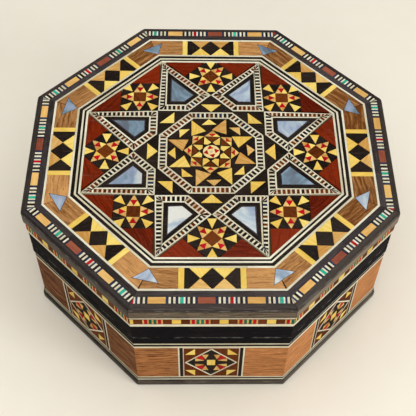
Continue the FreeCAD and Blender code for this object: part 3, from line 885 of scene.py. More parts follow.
def ladder(outlines_at, side=0):
    """Families of one ladder; outlines_at(inset) gives the outline drawn in by inset."""
    rails = np.concatenate([between(outlines_at(0.0), outlines_at(RAIL)),
                            between(outlines_at(LADDER - RAIL), outlines_at(LADDER))])
    bed = between(outlines_at(RAIL), outlines_at(LADDER - RAIL))
    made = {"rails": [family(rails, sides=[side], spread=2)], "bed": [family(bed, sides=[side])]}
    for dark, light in rungs(outlines_at(RAIL), outlines_at(LADDER - RAIL)):
        brown_share, rosy_share = WARM_LENGTH if hand.uniform(0, 1) > PLAIN_SHARE else PLAIN_LENGTH
        brown = hand.uniform(0, 1, len(dark)) < brown_share
        navy = ~brown & (hand.uniform(0, 1, len(dark)) < NAVY_SHARE)
        rosy = hand.uniform(0, 1, len(light)) < rosy_share
        sorted_out = (("brownwood", dark[brown]), ("dyed_navy", dark[navy]), ("ebony", dark[~brown & ~navy]),
                      ("rosy", light[rosy]), ("light", light[~rosy]))
        for key, chosen in sorted_out:
            if len(chosen):
                made.setdefault(key, []).append(family(chosen, sides=[side]))
    return made


def lay_ladders(pattern, node_name, ladders):
    """Lays several ladders as one pattern: rails and light rungs of bone, dark rungs of three woods."""
    gather = lambda key: sum((made.get(key, []) for made in ladders), [])
    darks = {key: gather(key) for key in ("ebony", "brownwood", "dyed_navy")}
    pales = {"bone": gather("rails") + gather("light"), "rosy_bone": gather("rosy")}
    inlay(pattern, node_name, {**pales, **darks})
    inlay(pattern + "_bed", node_name, {"ebony": (gather("bed"), BED_UNDER)})


# %% Star points


def kite(inset):
    """A point of the star, between four of its lines; drawn in, each line moves towards the kite."""
    steep = math.pi / 2 - HALF
    outer, inner = STAR_LINE - inset, STAR_LINE + inset
    return np.array([meet(steep, outer, -steep, outer), meet(steep, outer, -HALF, inner),
                     meet(HALF, inner, -HALF, inner), meet(-steep, outer, HALF, inner)])


def kite_in_field(inset):
    """The kite turned to the first corner direction, its point stopped at the field's corner."""
    corners = kite(inset)
    corners[0, 0] = min(corners[0, 0], FIELD / COS - inset * 0.9)
    return turned(corners, HALF)


lay_ladders("star_ladder", "kite_ladders", [ladder(kite_in_field, side) for side in ALL_SIDES])
EBONY_EDGE = 2.0
seat = turned(kite(LADDER + EBONY_EDGE), HALF)
edging = between(turned(kite(LADDER), HALF), seat)
edging_grain = np.degrees(np.arctan2(*(edging[:, 1] - edging[:, 0]).T[::-1]))
inlay("star_edging", "kite_ebony", {"ebony": [family(edging, grain=edging_grain)]})
STAR_TONES = [0.56, 0.5, 0.24, 0.12, 0.54, 0.98, 0.78, 0.34]
PUTTY = 0.6
UNEVEN = 0.25
star_pearls = []
for side, tone in zip(ALL_SIDES, STAR_TONES):
    pearl = turned(kite(LADDER + EBONY_EDGE + PUTTY), HALF) + hand.uniform(-UNEVEN, UNEVEN, (4, 2))
    star_pearls.append(family([pearl], grain=hand.uniform(0, 180), tone=tone, sides=[side]))
inlay("star", "kite_pearls", {"pearl": star_pearls, "blue_ebony": ([family([seat])], 0.05)})

# %% Centre octagon


def centre_outline(inset):
    """The octagon of the centre ladder drawn in by inset."""
    return polar((CENTRE_OUT - inset) / COS, TO_CORNERS)


lay_ladders("centre_ladder", "centre_ladder", [ladder(centre_outline)])

# %% [markdown]
# ## Red triangles and the ebony ground
# Two deep red triangles flank each rosette tile. Between the star's points and the centre octagon the ground
# is ebony, cut into three slips on each side so that one light triangle can stand on its tip between them.

# %% Red triangles and ground
TILE = 21.6
crossing = STAR_LINE * math.sqrt(2)
half_tile = TILE / math.sqrt(2)
tile_end = crossing + 2 * half_tile - FIELD
red = [[crossing + half_tile, half_tile], [FIELD, tile_end], [FIELD, FIELD - crossing]]
inlay("field", "red_triangles", {"redwood": [family(both_hands([red]), grain=75, spread=25)]})

LIGHT_BASE = 35.4
LIGHT_HALF = 5.8
tip = CENTRE_OUT + 0.35
reach = crossing - LIGHT_BASE
shoulder = STAR_LINE * TAN
ground_tip = [[LIGHT_BASE, -reach], [crossing, 0.0], [LIGHT_BASE, reach]]
ground_side = [[CENTRE_OUT, 0.0], [CENTRE_OUT, -CENTRE_OUT * TAN], [STAR_LINE, -shoulder],
               [LIGHT_BASE, -reach], [LIGHT_BASE, -LIGHT_HALF], [tip, 0.0]]
light = [[tip, 0.0], [LIGHT_BASE, -LIGHT_HALF], [LIGHT_BASE, LIGHT_HALF]]
ground = [family([ground_tip], grain=90), family(both_hands([ground_side]), grain=45, spread=30)]
inlay("ground", "ebony_ground", {"ebony": ground})
inlay("ground_light", "light_triangles", {"lemonwood": [family([light], grain=60, spread=30)]})

# %% [markdown]
# ## Rosette tiles
# Each tile is a square standing on its corner: a brown square in the middle, four two-coloured points along
# its own axes, four yellow petals to its corners and black between them. It is drawn in a square from -1 to 1
# and only then scaled, moved out and turned, so the outlines stay readable.

# %% Rosettes
CORE = 0.33
PETAL_FOOT = 0.40
PETAL_EDGE = 0.65
RED_TOP = 0.7
RED_FOOT = 0.36
POINT_HALF = 0.21
RED_HALF = 0.185


def quarter_turns(outlines):
    """The outlines at 0, 90, 180 and 270 degrees."""
    outlines = np.asarray(outlines, float)
    return np.concatenate([turned(outlines, quarter * math.pi / 2) for quarter in range(4)])


def in_tile(outlines):
    """From the unit square to the tile: scaled, stood on its corner, moved out, cut off at the field's edge."""
    placed = turned(np.asarray(outlines, float) * TILE / 2, math.pi / 4) + [crossing + half_tile, 0]
    placed[..., 0] = np.minimum(placed[..., 0], FIELD)
    return placed


core = [[-CORE, -CORE], [CORE, -CORE], [CORE, CORE], [-CORE, CORE]]
red_part = [[RED_FOOT, 0.0], [RED_TOP, -RED_HALF], [RED_TOP, RED_HALF]]
point_tip = [[RED_TOP, -POINT_HALF], [1.0, 0.0], [RED_TOP, POINT_HALF]]
flank = [[CORE, CORE], [CORE, 0.0], [RED_FOOT, 0.0], [RED_TOP, RED_HALF], [RED_TOP, POINT_HALF]]
petal = [[PETAL_FOOT, PETAL_FOOT], [1.0, PETAL_EDGE], [PETAL_EDGE, 1.0]]
black_blade = [[CORE, CORE], [1.0, 0.0], [1.0, PETAL_EDGE], [PETAL_FOOT, PETAL_FOOT]]
black_corner = [[1.0, PETAL_EDGE], [1.0, 1.0], [PETAL_EDGE, 1.0]]
blades = np.concatenate([quarter_turns([black_blade]), quarter_turns([np.array(black_blade)[:, ::-1]])])
flanks = quarter_turns(both_hands([flank]))
inlay("rosette", "rosette_tiles", {
    "brownwood": [family(in_tile([core]), grain=10, spread=30)],
    "dyed_red": [family(in_tile(quarter_turns([red_part])))],
    "pearwood": [family(in_tile(part), spread=40) for part in (quarter_turns([point_tip]), flanks[::2])],
    "lemonwood": [family(in_tile(part), spread=40) for part in (quarter_turns([petal]), flanks[1::2])],
    "ebony": [family(in_tile(blades), spread=40), family(in_tile(quarter_turns([black_corner])), spread=40)],
})

# %% [markdown]
# ## The centre star
# A ring of eight large triangles, light and tan in turn, and eight small ones, all turned a few degrees as
# the maker set them; inside it a rosette of two crossed squares with red-tipped points, brown triangles,
# yellow kites and a small red star. The black ground lies a hair lower, so nothing needs to be cut out of
# it.

# %% Centre star
# A triangle of the ring is given by the radius in millimetres and the angle in degrees of its three corners.
RING_TURN = 3.1
ROSETTE_TURN = -3.0
PANEL = CENTRE_OUT - LADDER
wedge = np.stack([polar(0.5, 0.0), [PANEL, -PANEL * TAN], [PANEL, 0.0]])
wedges = [family(both_hands([wedge]), grain=30, spread=60)]
large_at = 22.5 + RING_TURN
large = polar(np.array([25.8, 15.9, 15.3]), large_at + np.array([0.0, 18.6, -14.8]))
small = polar(np.array([24.1, 20.3, 20.3]), np.array([3.2, 15.5, -8.5]))
GROUND_UNDER = 0.08
inlay("centre_star", "centre_star_panel", {
    "ebony": (wedges, GROUND_UNDER),
    "lemonwood": [family([large], grain=40, sides=[0, 2, 4, 6], spread=40),
                  family([small], grain=40, sides=[2, 3, 4, 5, 7], spread=40)],
    "pearwood": [family([large], grain=40, sides=[1, 3, 5, 7], spread=40),
                 family([small], grain=40, sides=[0, 1, 6], spread=40)],
})

# %% Centre rosette
# Its parts are given by the radius in millimetres and the angle in degrees of each corner.
SQUARE = 10.9
TIP = SQUARE * math.sqrt(2)
BAR = 13.0
lean = math.radians(ROSETTE_TURN)
shoulder_half = SQUARE * TAN
tip_half = TIP - BAR
tip_slip = [[BAR, -tip_half], [TIP, 0.0], [BAR, tip_half]]
RED_WING = 2.15
red_foot = SQUARE + 0.1
tip_red = [[red_foot, 0.0], [BAR, -RED_WING], [BAR, RED_WING]]
tip_flank = [[SQUARE, shoulder_half], [SQUARE, 0.0], [red_foot, 0.0], [BAR, RED_WING], [BAR, tip_half]]
brown = [[SQUARE - 0.3, -3.5], [SQUARE - 0.3, 3.5], [7.0, 0.0]]
yellow = polar(np.array([11.5, 6.7, 5.4, 6.7]), 22.5 + np.array([0.0, 19.0, 0.0, -19.0]))
EYE = 4.75
EYE_TURN = 13.0
eye = polar(EYE, EYE_TURN + 22.5 * np.arange(16))
red_arm = polar(np.array([EYE, 2.7, 2.7]), EYE_TURN + np.array([0.0, 45.0, -45.0]))
heart = polar(1.0, EYE_TURN + 45 + 90.0 * np.arange(4))
one = [0]
inlay("centre_rosette", "centre_rosette", {
    "ebony": ([family([polar(11.9, TO_CORNERS)], sides=one)], 0.06),
    "pearwood": [family(turned([tip_slip], lean), spread=40), family(turned([tip_flank], lean), spread=40)],
    "lemonwood": [family(turned(np.array([tip_flank]) * [1, -1], lean), spread=40),
                  family(turned([yellow], lean), grain=20, spread=40)],
    "dyed_red": [family(turned([tip_red], lean))],
    "brownwood": [family(turned([brown], lean), grain=90)],
})
inlay("centre_eye", "centre_rosette", {
    "sycamore": ([family([eye], sides=one)], 0.04),
    "dyed_red": ([family([red_arm], grain=13, sides=[0, 2, 4, 6])], 0.02),
    "rosy_bone": ([family([heart], sides=one)], 0.0),
})

# %% [markdown]
# ## The walls
# On a wall a slip is drawn as it is seen from outside: along the wall and up it. The same maker turns it
# upright by swapping which coordinate becomes the depth. The lines above and below the panels are sticks
# again, the panels are walnut with a mosaic in the middle, and the lid's edge carries a coloured stick.

# %% Lines round the walls
VENEER_DEPTH = 1.1


def bar_on_wall(start, end, low, high):
    """A rectangle on a wall."""
    return [[start, low], [end, low], [end, high], [start, high]]


def full_bars(out, rows):
    """Lines along a whole side of flat out, one for each row of lowest and highest point."""
    return [family([bar_on_wall(-out * TAN, out * TAN, *row)], spread=1) for row in rows]


def wall_lines(pattern, white_node, black_node, white_share):
    """A white, a black and a white line that fill a zone of the wall."""
    low, high = level(white_node)
    white = (high - low) * white_share
    out = flat(white_node)
    whites = full_bars(out, [(low, low + white), (high - white, high)])
    black = full_bars(out, [(low + white, high - white)])
    depth = dict(low=out - VENEER_DEPTH, high=out, wall=True, body="box")
    inlay(pattern + "_white", white_node, {"bone": whites}, **depth)
    inlay(pattern + "_black", black_node, {"ebony": black}, **depth)


wall_lines("lower_lines", "lower_white_lines", "lower_dark_line", 0.3)
wall_lines("upper_lines", "upper_white_lines", "upper_dark_line", 0.31)

# %% Lid edge strip
EDGE_RUN = [0.9, 1.6, 0.8, 1.4, 0.9, 1.4, 0.8, 1.6, 0.9]
EDGE_WOODS = ["pearwood", "dyed_red", "pearwood", "dyed_green", "pearwood"]
EDGE_WOODS += EDGE_WOODS[-2::-1]
strip_low, strip_high = level("lid_edge_coloured_strip")
edge_low, edge_high = level("lid_edge_white_lines")
on_lid = dict(low=LID_EDGE - 2.0, high=LID_EDGE, wall=True)
whites = full_bars(LID_EDGE, [(edge_low, strip_low), (strip_high, edge_high)])
inlay("lid_edge_lines", "lid_edge_white_lines", {"bone": whites}, **on_lid)
MARGIN = 0.45
margins = full_bars(LID_EDGE, [(strip_low, strip_low + MARGIN), (strip_high - MARGIN, strip_high)])
inlay("lid_edge_margins", "lid_edge_coloured_strip", {"brownwood": margins}, **on_lid)
JOINT = 0.25
widths = [4.6, JOINT, 3.9, JOINT, *EDGE_RUN, JOINT, 3.9, JOINT]
woods = ["lemonwood", "ebony", "brownwood", "ebony", *EDGE_WOODS, "ebony", "brownwood", "ebony"]
shifts = hand.uniform(-6, 6, SIDES)
edge_groups = sticks_round(widths, woods, LID_EDGE - 0.001, LID_EDGE, centre=-2.3, shifts=shifts,
                           wall=True, rows=(strip_low + MARGIN, strip_high - MARGIN))
inlay("lid_edge_strip", "lid_edge_coloured_strip", edge_groups, **on_lid)

# %% Side panels
panel_low, panel_high = level("side_walnut")
FRAME_LINES = [0.6, 1.75, 0.85]
mosaic_half = 14.6
cream_out, black_out, white_out = mosaic_half + np.cumsum(FRAME_LINES)
on_box = dict(low=VENEER - VENEER_DEPTH, high=VENEER, wall=True, body="box")
corner_reach = VENEER * TAN
walnut_panel = bar_on_wall(white_out, corner_reach, panel_low, panel_high)
# the two walnut panels of each wall, from dark 0 to light 1: the walnut's own tone, with painted shade making
# the left and left front walls dark and painted light making the right and right front ones light
PANEL_TONES_AND_SHADE = [(0.8, 0.7), (0.5, 0.4), (0.5, 0.6), (0.4, 0.5), (0.15, 0.1), (0.08, 0.0), (0.62, 0.4),
               (0.72, 0.78)]
panels = [family(mirrored([walnut_panel]), tone=tones, sides=[side], spread=2)
          for side, tones in zip(ALL_SIDES, PANEL_TONES_AND_SHADE)]
inlay("wall_panels", "side_walnut", {"side_walnut_wood": panels}, **on_box)
frame_bars, black_bars, white_bars = (
    mirrored([bar_on_wall(start, end, panel_low, panel_high)])
    for start, end in ((mosaic_half, cream_out), (cream_out, black_out), (black_out, white_out)))
ends = [bar_on_wall(-mosaic_half, mosaic_half, *row)
        for row in ((panel_low, panel_low + FRAME_LINES[0]), (panel_high - FRAME_LINES[0], panel_high))]
inlay("wall_cream", "side_cream_frames", {"rosy_bone": [family(frame_bars), family(ends)]}, **on_box)
inlay("wall_black", "side_black_lines", {"ebony": [family(black_bars, grain=90)]}, **on_box)
inlay("wall_white", "side_white_lines", {"bone": [family(white_bars, grain=90)]}, **on_box)

# %% Wall mosaics
centre_z = (panel_low + panel_high) / 2
half_height = (panel_high - panel_low) / 2 - FRAME_LINES[0]
unit = np.array([mosaic_half, half_height])
RHOMBUS = 0.985
RHOMBUS_LINE = 0.95


def on_mosaic(outlines):
    """From a square of -1 to 1 to the mosaic's own height and width."""
    return np.asarray(outlines, float) * unit + [0, centre_z]


rhombus = on_mosaic([[[RHOMBUS, 0.0], [0.0, RHOMBUS], [-RHOMBUS, 0.0], [0.0, -RHOMBUS]]])
rhombus_in = drawn_in(rhombus, RHOMBUS_LINE)
heart_slip = [[-0.155, -0.19], [0.155, -0.19], [0.155, 0.19], [-0.155, 0.19]]
petal_up = [[0.09, 0.56], [0.355, 0.56], [0.21, 0.22]]
petal_side = [[0.59, 0.09], [0.59, 0.31], [0.24, 0.155]]
red_blade = [[0.365, 0.545], [0.575, 0.325], [0.225, 0.18]]
corner_slip = [[0.59, 0.56], [0.965, 0.56], [0.59, 0.97]]
ground = bar_on_wall(-mosaic_half, mosaic_half, centre_z - half_height, centre_z + half_height)
inlay("mosaic_ground", "side_mosaics", {"brownwood": ([family([ground], grain=90)], GROUND_UNDER)}, **on_box)
inlay("mosaic", "side_mosaics", {
    "bone": [family(between(rhombus[0], rhombus_in[0]), spread=2)],
    "ebony": ([family(rhombus_in, grain=90)], 0.06),
    "lemonwood": [family(on_mosaic(part), grain=90) for part in ([heart_slip], four_ways([corner_slip]))],
    "pearwood": [family(on_mosaic(four_ways([part])), grain=angle)
                 for part, angle in ((petal_up, 90), (petal_side, 0))],
    "dyed_red": [family(on_mosaic(four_ways([red_blade])), grain=45)],
}, **on_box)

# %% [markdown]
# ## Mouldings
# The lid is edged with a rounded moulding and the box stands on a flatter one. Both are one profile carried
# round the octagon. A carried profile is a grid: one direction runs round the profile, the other round the
# box. The corners are not quite sharp, so the path is a smaller sharp octagon plus an arc at each corner.
# The profile's own corners are eased with a short parabola, which catches the light along the whole edge.

# %% A profile round the box
BOARD_IN = 88.0
SHARP = 0.05
SHARP_ANGLE = math.radians(40)


def eased(outline, reach, steps=6):
    """Each corner P becomes a parabola from A to B, points on its edges: (1-s)^2 A + 2 s (1-s) P + s^2 B."""
    outline = np.asarray(outline, float)
    reach = np.reshape(np.broadcast_to(reach, len(outline)), (-1, 1))
    back = np.roll(outline, 1, 0) - outline
    ahead = np.roll(outline, -1, 0) - outline
    start = outline + back / np.linalg.norm(back, axis=1, keepdims=True) * reach
    end = outline + ahead / np.linalg.norm(ahead, axis=1, keepdims=True) * reach
    s = np.linspace(0, 1, steps)[:, None, None]
    curve = (1 - s) ** 2 * start + 2 * s * (1 - s) * outline + s**2 * end
    return curve.transpose(1, 0, 2).reshape(-1, 2)


def carried_round(profile, corner_radius, steps=9):
    """At flat r a corner is an arc of radius q about the sharp corner of the octagon of flat r - q."""
    r, z = profile[:, 0], profile[:, 1]
    q = np.maximum(corner_radius - (r.max() - r), 0.1)[:, None, None]
    corner = np.radians(TO_CORNERS)[:, None]
    arc = corner + np.linspace(-HALF, HALF, steps)
    core = (r[:, None, None] - q) / COS
    x = core * np.cos(corner) + q * np.cos(arc)
    y = core * np.sin(corner) + q * np.sin(arc)
    corners = np.stack(np.broadcast_arrays(x, y, z[:, None, None]), -1).reshape(len(r), -1, 3)
    rows, columns = corners.shape[:2]
    row, column = np.meshgrid(np.arange(rows), np.arange(columns), indexing="ij")
    at = lambda i, j: (i % rows) * columns + j % columns
    faces = np.stack([at(row, column), at(row, column + 1), at(row + 1, column + 1), at(row + 1, column)], -1)
    return corners.reshape(-1, 3) * MM, faces.reshape(-1, 4).tolist()


def moulding(name, node_name, finish, body, inner, reach, corner_radius):
    """A rectangle from the inner flat to the node's, its corners eased by reach, carried round the box."""
    low, high = level(node_name)
    outer = flat(node_name)
    profile = eased([(inner, low), (outer, low), (outer, high), (inner, high)], reach)
    mesh = new_mesh(name, *carried_round(profile, corner_radius), smooth=True)
    mesh.set_sharp_from_angle(angle=SHARP_ANGLE)
    place(name, mesh, finish, body, node_name)
    print(name, len(mesh.polygons), "faces")


moulding("lid_edge_moulding", "lid_moulding", "moulding_wood", "lid", TICK_OUT, [SHARP, 0.6, 2.6, SHARP], 3.0)
moulding("foot_moulding", "base_moulding", "base_wood", "box", BOARD_IN, [SHARP, 1.5, 0.7, SHARP], 2.0)

# %% [markdown]
# ## The black rims
# Where lid and box meet, both are edged in black lacquer with a cap over the boards. Their lips are eased,
# and along the lower one the lacquer's finish paints a thin bright line of pale dashes as a highlight. On
# the back wall two notches take the hinges, so there the profile changes twice along the side. Each length is
# therefore a prism: the profile at its start, the same profile at its end, faces between them, and a cap at
# each end. At a mitre the end slants by r tan 22.5.

# %% Rims
seam = (level("box_rim")[1] + level("lid_rim")[0]) / 2
rim_out = flat("box_rim")
FACING = 1.5
CAP = 1.55
LEAF_ROOM = 0.95
BARREL_ROOM = 1.8
LEAF_BACK = 89.5
HINGE_AT = 24.0
HINGE_REACH = 9.3
HINGE_SIDE = 2


def rim_profile(node_name, hinged):
    """The rim's outline: a facing on the boards and a cap over them, with the hinge's notch where it lies."""
    low, high = level(node_name)
    sign = 1.0 if low > seam - 1.0 else -1.0
    near = abs((low if sign > 0 else high) - seam)
    away = abs((high if sign > 0 else low) - seam)
    outline = [(rim_out - FACING, away), (rim_out, away)]
    reach = [SHARP, 0.3]
    if hinged:
        end = math.pi - math.asin(LEAF_ROOM / BARREL_ROOM)
        arc = np.linspace(math.pi / 2, end, 7)
        outline += [(rim_out + BARREL_ROOM * math.cos(a), BARREL_ROOM * math.sin(a)) for a in arc]
        outline += [(LEAF_BACK, LEAF_ROOM), (LEAF_BACK, near)]
        reach += [SHARP] * 9
    else:
        outline += [(rim_out, near)]
        reach += [1.0 if sign < 0 else 0.5]
    outline += [(BOARD_IN, near), (BOARD_IN, near + CAP), (rim_out - FACING, near + CAP)]
    reach += [0.4, SHARP, SHARP]
    curve = eased(outline, reach) * [1, sign] + [0, seam]
    return curve[::-1] if sign > 0 else curve


def prism_along(profile, side, start=None, end=None):
    """The profile at two places along a side, joined by quadrilaterals; None stands for the mitre."""
    r, z = profile.T
    along = [-r * TAN if start is None else np.full_like(r, start),
             r * TAN if end is None else np.full_like(r, end)]
    ends = np.stack([np.stack([r, t, z], -1) for t in along])
    ends[..., :2] = turned(ends[..., :2], side * STEP)
    count = len(r)
    first = np.arange(count)
    after = np.roll(first, -1)
    faces = np.stack([first, first + count, after + count, after], -1).tolist()
    return ends.reshape(-1, 3) * MM, faces + [first.tolist(), (first + count)[::-1].tolist()]


def rim(name, node_name, body):
    """Seven plain sides and a back with two hinge notches, in one mesh."""
    plain, notched = rim_profile(node_name, False), rim_profile(node_name, True)
    parts = [prism_along(plain, side) for side in ALL_SIDES if side != HINGE_SIDE]
    near, far = HINGE_AT - HINGE_REACH, HINGE_AT + HINGE_REACH
    stops = [None, -far, -near, near, far, None]
    parts += [prism_along(notched if number % 2 else plain, HINGE_SIDE, *span)
              for number, span in enumerate(zip(stops, stops[1:]))]
    shift = np.cumsum([0] + [len(corners) for corners, _ in parts])
    faces = [(np.array(face) + first).tolist()
             for first, (_, part_faces) in zip(shift, parts) for face in part_faces]
    mesh = new_mesh(name, np.concatenate([corners for corners, _ in parts]), faces, smooth=True)
    mesh.set_sharp_from_angle(angle=SHARP_ANGLE)
    place(name, mesh, "black_lacquer", body, node_name)
    print(name, len(faces), "faces")


rim("box_rim_edging", "box_rim", "box")
rim("lid_rim_edging", "lid_rim", "lid")

# %% [markdown]
# ## Velvet and felt
# Inside, a thin pad lies on the floor and another under the lid, and velvet panels cover the boards. Each
# is velvet pulled over a little wadding: crowned, soft along its edges, flat where it is glued. A closed
# shell is worked out as a grid first; then Blender's cloth blows it up from inside, with its glued face
# pinned, and no point may move further than a cap. That gives the uneven fullness that a formula lacks.

# %% Soft shells
CLOTH_FRAMES = 20
# how far along from a side's middle to its corner a pad starts to be blunt
BLUNT_FROM = 0.85
# a lining's thickness at its edges, and what each lining leaves free at a mitre
LINING_EDGE = 0.1
MITRE_FREE = 0.05


def octagon_pad(pad_flat, back, face, rings=24, around=96, edge=2.0, blunt=8.0):
    """A disc whose outline is pad_flat / cos(a), a being the angle from the nearest side, with blunt corners.
    Its rings go from the back's middle to the face's middle, and its edge follows a quarter ellipse."""
    a = np.linspace(0, 2 * math.pi, around, endpoint=False)
    off = np.abs((a + HALF) % STEP - HALF)
    outline = pad_flat / np.cos(off) - np.maximum(off - HALF * BLUNT_FROM, 0) * blunt
    grow = np.linspace(0, 1, rings)[1:] ** 0.8
    bend = np.linspace(0, math.pi / 2, 5)[1:-1]
    inward = edge / pad_flat
    radius = np.concatenate([grow, 1 - inward * (1 - np.cos(bend)), (grow * (1 - inward))[::-1]])
    rise = np.concatenate([np.zeros(len(grow)), np.sin(bend), np.ones(len(grow))])
    z = back + (face - back) * rise
    x = radius[:, None] * outline * np.cos(a)
    y = radius[:, None] * outline * np.sin(a)
    corners = np.stack(np.broadcast_arrays(x, y, z[:, None]), -1)
    rows = len(radius)
    middles = [[0, 0, back], [0, 0, face]]
    index = np.arange(rows * around).reshape(rows, around)
    after = np.roll(index, -1, 1)
    quads = np.stack([index[:-1], index[1:], after[1:], after[:-1]], -1).reshape(-1, 4)
    back_middle = np.full(around, rows * around)
    fans = [np.stack([back_middle, index[0], after[0]], -1),
            np.stack([back_middle + 1, after[-1], index[-1]], -1)]
    order = -1 if face > back else 1
    faces = sum((part[:, ::order].tolist() for part in (quads, *fans)), [])
    return np.concatenate([corners.reshape(-1, 3), middles]) * MM, faces


def wall_pads(inner, outer, low, high, columns=30, rows=18):
    """Eight panels, mitred to each other. On a grid of u and v from -1 to 1, the face stands off the wall by
    its thickness times the cube roots of 1 - u^8 and of 1 - v^8."""
    u = np.sin(np.linspace(-math.pi / 2, math.pi / 2, columns))
    v = np.sin(np.linspace(-math.pi / 2, math.pi / 2, rows))
    z = (low + high) / 2 + v * (high - low) / 2 + 0 * u[:, None]
    stand = np.cbrt(1 - u[:, None] ** 8) * np.cbrt(1 - v**8)
    front = outer - LINING_EDGE - stand * (outer - inner)
    depth = np.stack([front, np.full_like(front, outer)])
    half_width = TAN * depth - MITRE_FREE
    face, back = np.stack([depth, u[:, None] * half_width, np.stack([z, z])], -1)
    index = np.arange(columns * rows).reshape(columns, rows)
    quads = np.stack([index[:-1, :-1], index[1:, :-1], index[1:, 1:], index[:-1, 1:]], -1).reshape(-1, 4)
    rim_line = np.concatenate([index[:-1, 0], index[-1, :-1], index[:0:-1, -1], index[0, :0:-1]])
    after = np.roll(rim_line, -1)
    size = columns * rows
    sides = np.stack([rim_line, after, after + size, rim_line + size], -1)
    one = np.concatenate([quads[:, ::-1], quads + size, sides])
    corners, faces = [], []
    for side in ALL_SIDES:
        panel = np.concatenate([face.reshape(-1, 3), back.reshape(-1, 3)])
        panel[:, :2] = turned(panel[:, :2], side * STEP)
        corners.append(panel)
        faces += (one + side * 2 * size).tolist()
    return np.concatenate(corners) * MM, faces


def points_of(mesh):
    """The corners of a mesh as an array, in metres."""
    points = np.empty(len(mesh.vertices) * 3)
    mesh.vertices.foreach_get("co", points)
    return points.reshape(-1, 3)


def filled(piece, glued, cap, pressure=4.0):
    """Blows the shell up with cloth for twenty frames, caps each point's movement and subdivides once.
    A point that would move by d moves by cap * tanh(d / cap)."""
    mesh = piece.data
    start = points_of(mesh)
    pins = piece.vertex_groups.new(name="glued")
    pins.add(np.flatnonzero(glued(start / MM)).tolist(), 1.0, "REPLACE")
    cloth_modifier = piece.modifiers.new("cloth", "CLOTH")
    settings = cloth_modifier.settings
    settings.use_pressure = True
    settings.uniform_pressure_force = pressure
    settings.effector_weights.gravity = 0.0
    settings.vertex_group_mass = "glued"
    settings.quality = 5
    settings.mass = 0.2
    settings.bending_stiffness = 0.4
    cloth_modifier.collision_settings.use_collision = False
    scene = bpy.context.scene
    cloth_modifier.point_cache.frame_start = 1
    cloth_modifier.point_cache.frame_end = CLOTH_FRAMES
    for frame_number in range(1, CLOTH_FRAMES + 1):
        scene.frame_set(frame_number)
    grown = piece.evaluated_get(bpy.context.evaluated_depsgraph_get())
    move = points_of(grown.data) - start
    far_moved = np.linalg.norm(move, axis=1, keepdims=True)
    move = move / np.maximum(far_moved, 1e-9) * cap * MM * np.tanh(far_moved / (cap * MM))
    piece.modifiers.remove(cloth_modifier)
    piece.vertex_groups.remove(pins)
    scene.frame_set(1)
    mesh.vertices.foreach_set("co", (start + move).ravel())
    mesh.update()
    print(piece.name, "grew by", round(float(far_moved.max()) / MM, 2), "mm before the cap")
    smooth = piece.modifiers.new("smooth", "SUBSURF")
    smooth.levels = smooth.render_levels = 1


# %% Pads and linings
# A pad is a little wider than its node and a lining a little higher and nearer its board, so that they meet.
PAD_WIDER = 1.2
PAD_EDGE = 1.2
SWELL_ROOM = 0.45
LINING_NEARER = 0.25
LINING_THICK = 1.25
CLEAR = 0.1
GLUED_WITHIN = 0.05
for name, node_name, body, turn_over in (("floor_cushion", "floor_pad", "box", False),
                                         ("lid_cushion", "lid_pad", "lid", True)):
    low, high = level(node_name)
    back, face = (high, low + SWELL_ROOM) if turn_over else (low, high - SWELL_ROOM)
    shell = octagon_pad(flat(node_name) + PAD_WIDER, back, face, edge=PAD_EDGE, blunt=3.0)
    piece = place(name, new_mesh(name, *shell, smooth=True), "velvet", body, node_name)
    filled(piece, lambda point, z=back: np.abs(point[:, 2] - z) < GLUED_WITHIN, cap=0.5)

box_cap = level("box_rim")[1] - CAP
lid_cap = level("lid_rim")[0] + CAP
for name, node_name, body, low, high in (
    ("box_lining", "box_wall_lining", "box", level("floor_pad")[0], box_cap - CLEAR),
    ("lid_lining", "lid_wall_lining", "lid", lid_cap + CLEAR, level("lid_pad")[1]),
):
    outer = flat(node_name) + LINING_NEARER
    shell = wall_pads(outer - LINING_THICK, outer, low, high)
    piece = place(name, new_mesh(name, *shell, smooth=True), "velvet", body, node_name)
    side_flat = lambda point: (point[:, :2] @ polar(1.0, TO_SIDES).T).max(1)
    filled(piece, lambda point, outer=outer: side_flat(point) > outer - GLUED_WITHIN, cap=0.25)

# %% Felt underneath
# The felt lies against the floor panel, and its free side is rippled by up to 0.2 mm.
RIPPLE = 0.0001
low, high = level("underside_felt")
felt_flat = flat("underside_felt")
mesh = new_mesh("foot_felt", *octagon_pad(felt_flat, high, low, rings=20, around=128, edge=0.5), smooth=True)
felt_points = points_of(mesh)
under = felt_points[:, 2] < (low + 0.1) * MM
across, along = felt_points[under, 0], felt_points[under, 1]
felt_points[under, 2] += RIPPLE * (1 + np.sin(across * 310) * np.cos(along * 270))
mesh.vertices.foreach_set("co", felt_points.ravel())
felt_piece = place("foot_felt", mesh, "felt", "box", "underside_felt")

# %% [markdown]
# ## Camera and light
# The box stands on a plain pale floor. A long lens half a metre off keeps the sides nearly parallel. Most
# light comes from one very large soft box overhead. A small cool one far off at the front right stands for
# a window, a weak one at the front lifts the near wall, and a dim pale world fills the shadows. The far
# upper side is left dim, because that is what the polished lid mirrors: a bright wall there would wash out
# the ebony.

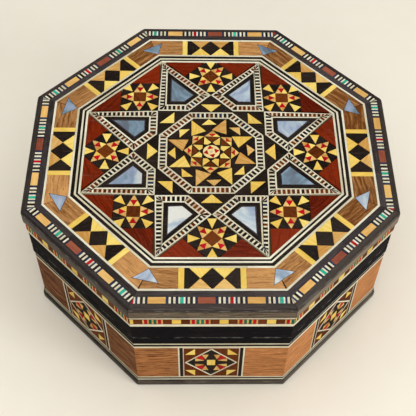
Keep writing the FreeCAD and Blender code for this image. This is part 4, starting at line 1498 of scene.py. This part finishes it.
# %% Camera
CAMERA_PLACE = Vector((-6.8, -307.9, 450.5)) * MM
CAMERA_AIM = Vector((10.37, -17.29, 50.0)) * MM
CAMERA_ROLL = math.radians(2.89)
camera_data = bpy.data.cameras.new("camera")
camera_data.sensor_width = 36.0
camera_data.lens = 74.54
camera_data.shift_x = -0.05
camera_data.shift_y = 0.0183
camera_data.clip_start = 0.01
camera = bpy.data.objects.new("camera", camera_data)
bpy.context.scene.collection.objects.link(camera)
gaze = (CAMERA_AIM - CAMERA_PLACE).to_track_quat("-Z", "Y").to_matrix()
camera.location = CAMERA_PLACE
camera.rotation_euler = (gaze @ Matrix.Rotation(CAMERA_ROLL, 3, "Z")).to_euler()
bpy.context.scene.camera = camera
print("camera:", round((CAMERA_AIM - CAMERA_PLACE).length, 3), "m from its aim")

# %% Lights


def softbox(name, place, aim, size, power, colour):
    """A square area light at a place, turned to an aim."""
    data = bpy.data.lights.new(name, "AREA")
    data.shape = "SQUARE"
    data.size = size
    data.energy = power
    data.color = colour
    lamp = bpy.data.objects.new(name, data)
    bpy.context.scene.collection.objects.link(lamp)
    lamp.location = place
    lamp.rotation_euler = (Vector(aim) - Vector(place)).to_track_quat("-Z", "Y").to_euler()


softbox("overhead", (0.02, -0.12, 1.3), (0.0, 0.0, 0.0), size=1.9, power=17.6, colour=(1.0, 0.99, 0.97))
softbox("window", (1.9, -1.0, 0.85), (0, 0, 0.04), size=0.7, power=16.5, colour=(0.92, 0.97, 1.0))
softbox("front", (0.0, -1.0, 0.62), (0, 0, 0.04), size=0.3, power=2.0, colour=(1.0, 0.98, 0.96))
print("lights:", [lamp.name for lamp in bpy.data.lights])

world = bpy.data.worlds.new("studio")
world.use_nodes = True
sky = world.node_tree.nodes["Background"].inputs
feed(world.node_tree, sky, {"Color": srgb(238, 236, 232), "Strength": 0.28})
bpy.context.scene.world = world
bpy.context.scene.view_settings.view_transform = "Standard"

# %% Floor


def paper():
    """Pale matt paper with the faintest mottling."""
    tree, shader = new_finish("paper", None)
    mottle = noise(tree, object_space(tree), 60.0, 5.0)["Fac"]
    feed(tree, shader.inputs, {"Base Color": blend(tree, mottle, srgb(242, 235, 219), srgb(246, 239, 224)),
                               "Roughness": 0.9})


paper()
FLOOR_REACH = 6.0
corners = np.array([[-1, -1, 0], [1, -1, 0], [1, 1, 0], [-1, 1, 0]]) * FLOOR_REACH
floor_mesh = new_mesh("floor", corners, [[0, 1, 2, 3]])
floor_mesh.materials.append(finishes["paper"][0])
floor = bpy.data.objects.new("floor", floor_mesh)
bpy.context.scene.collection.objects.link(floor)
floor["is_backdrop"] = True
print("floor:", 2 * FLOOR_REACH, "m wide")

# %% Size of the finished model
low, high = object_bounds()
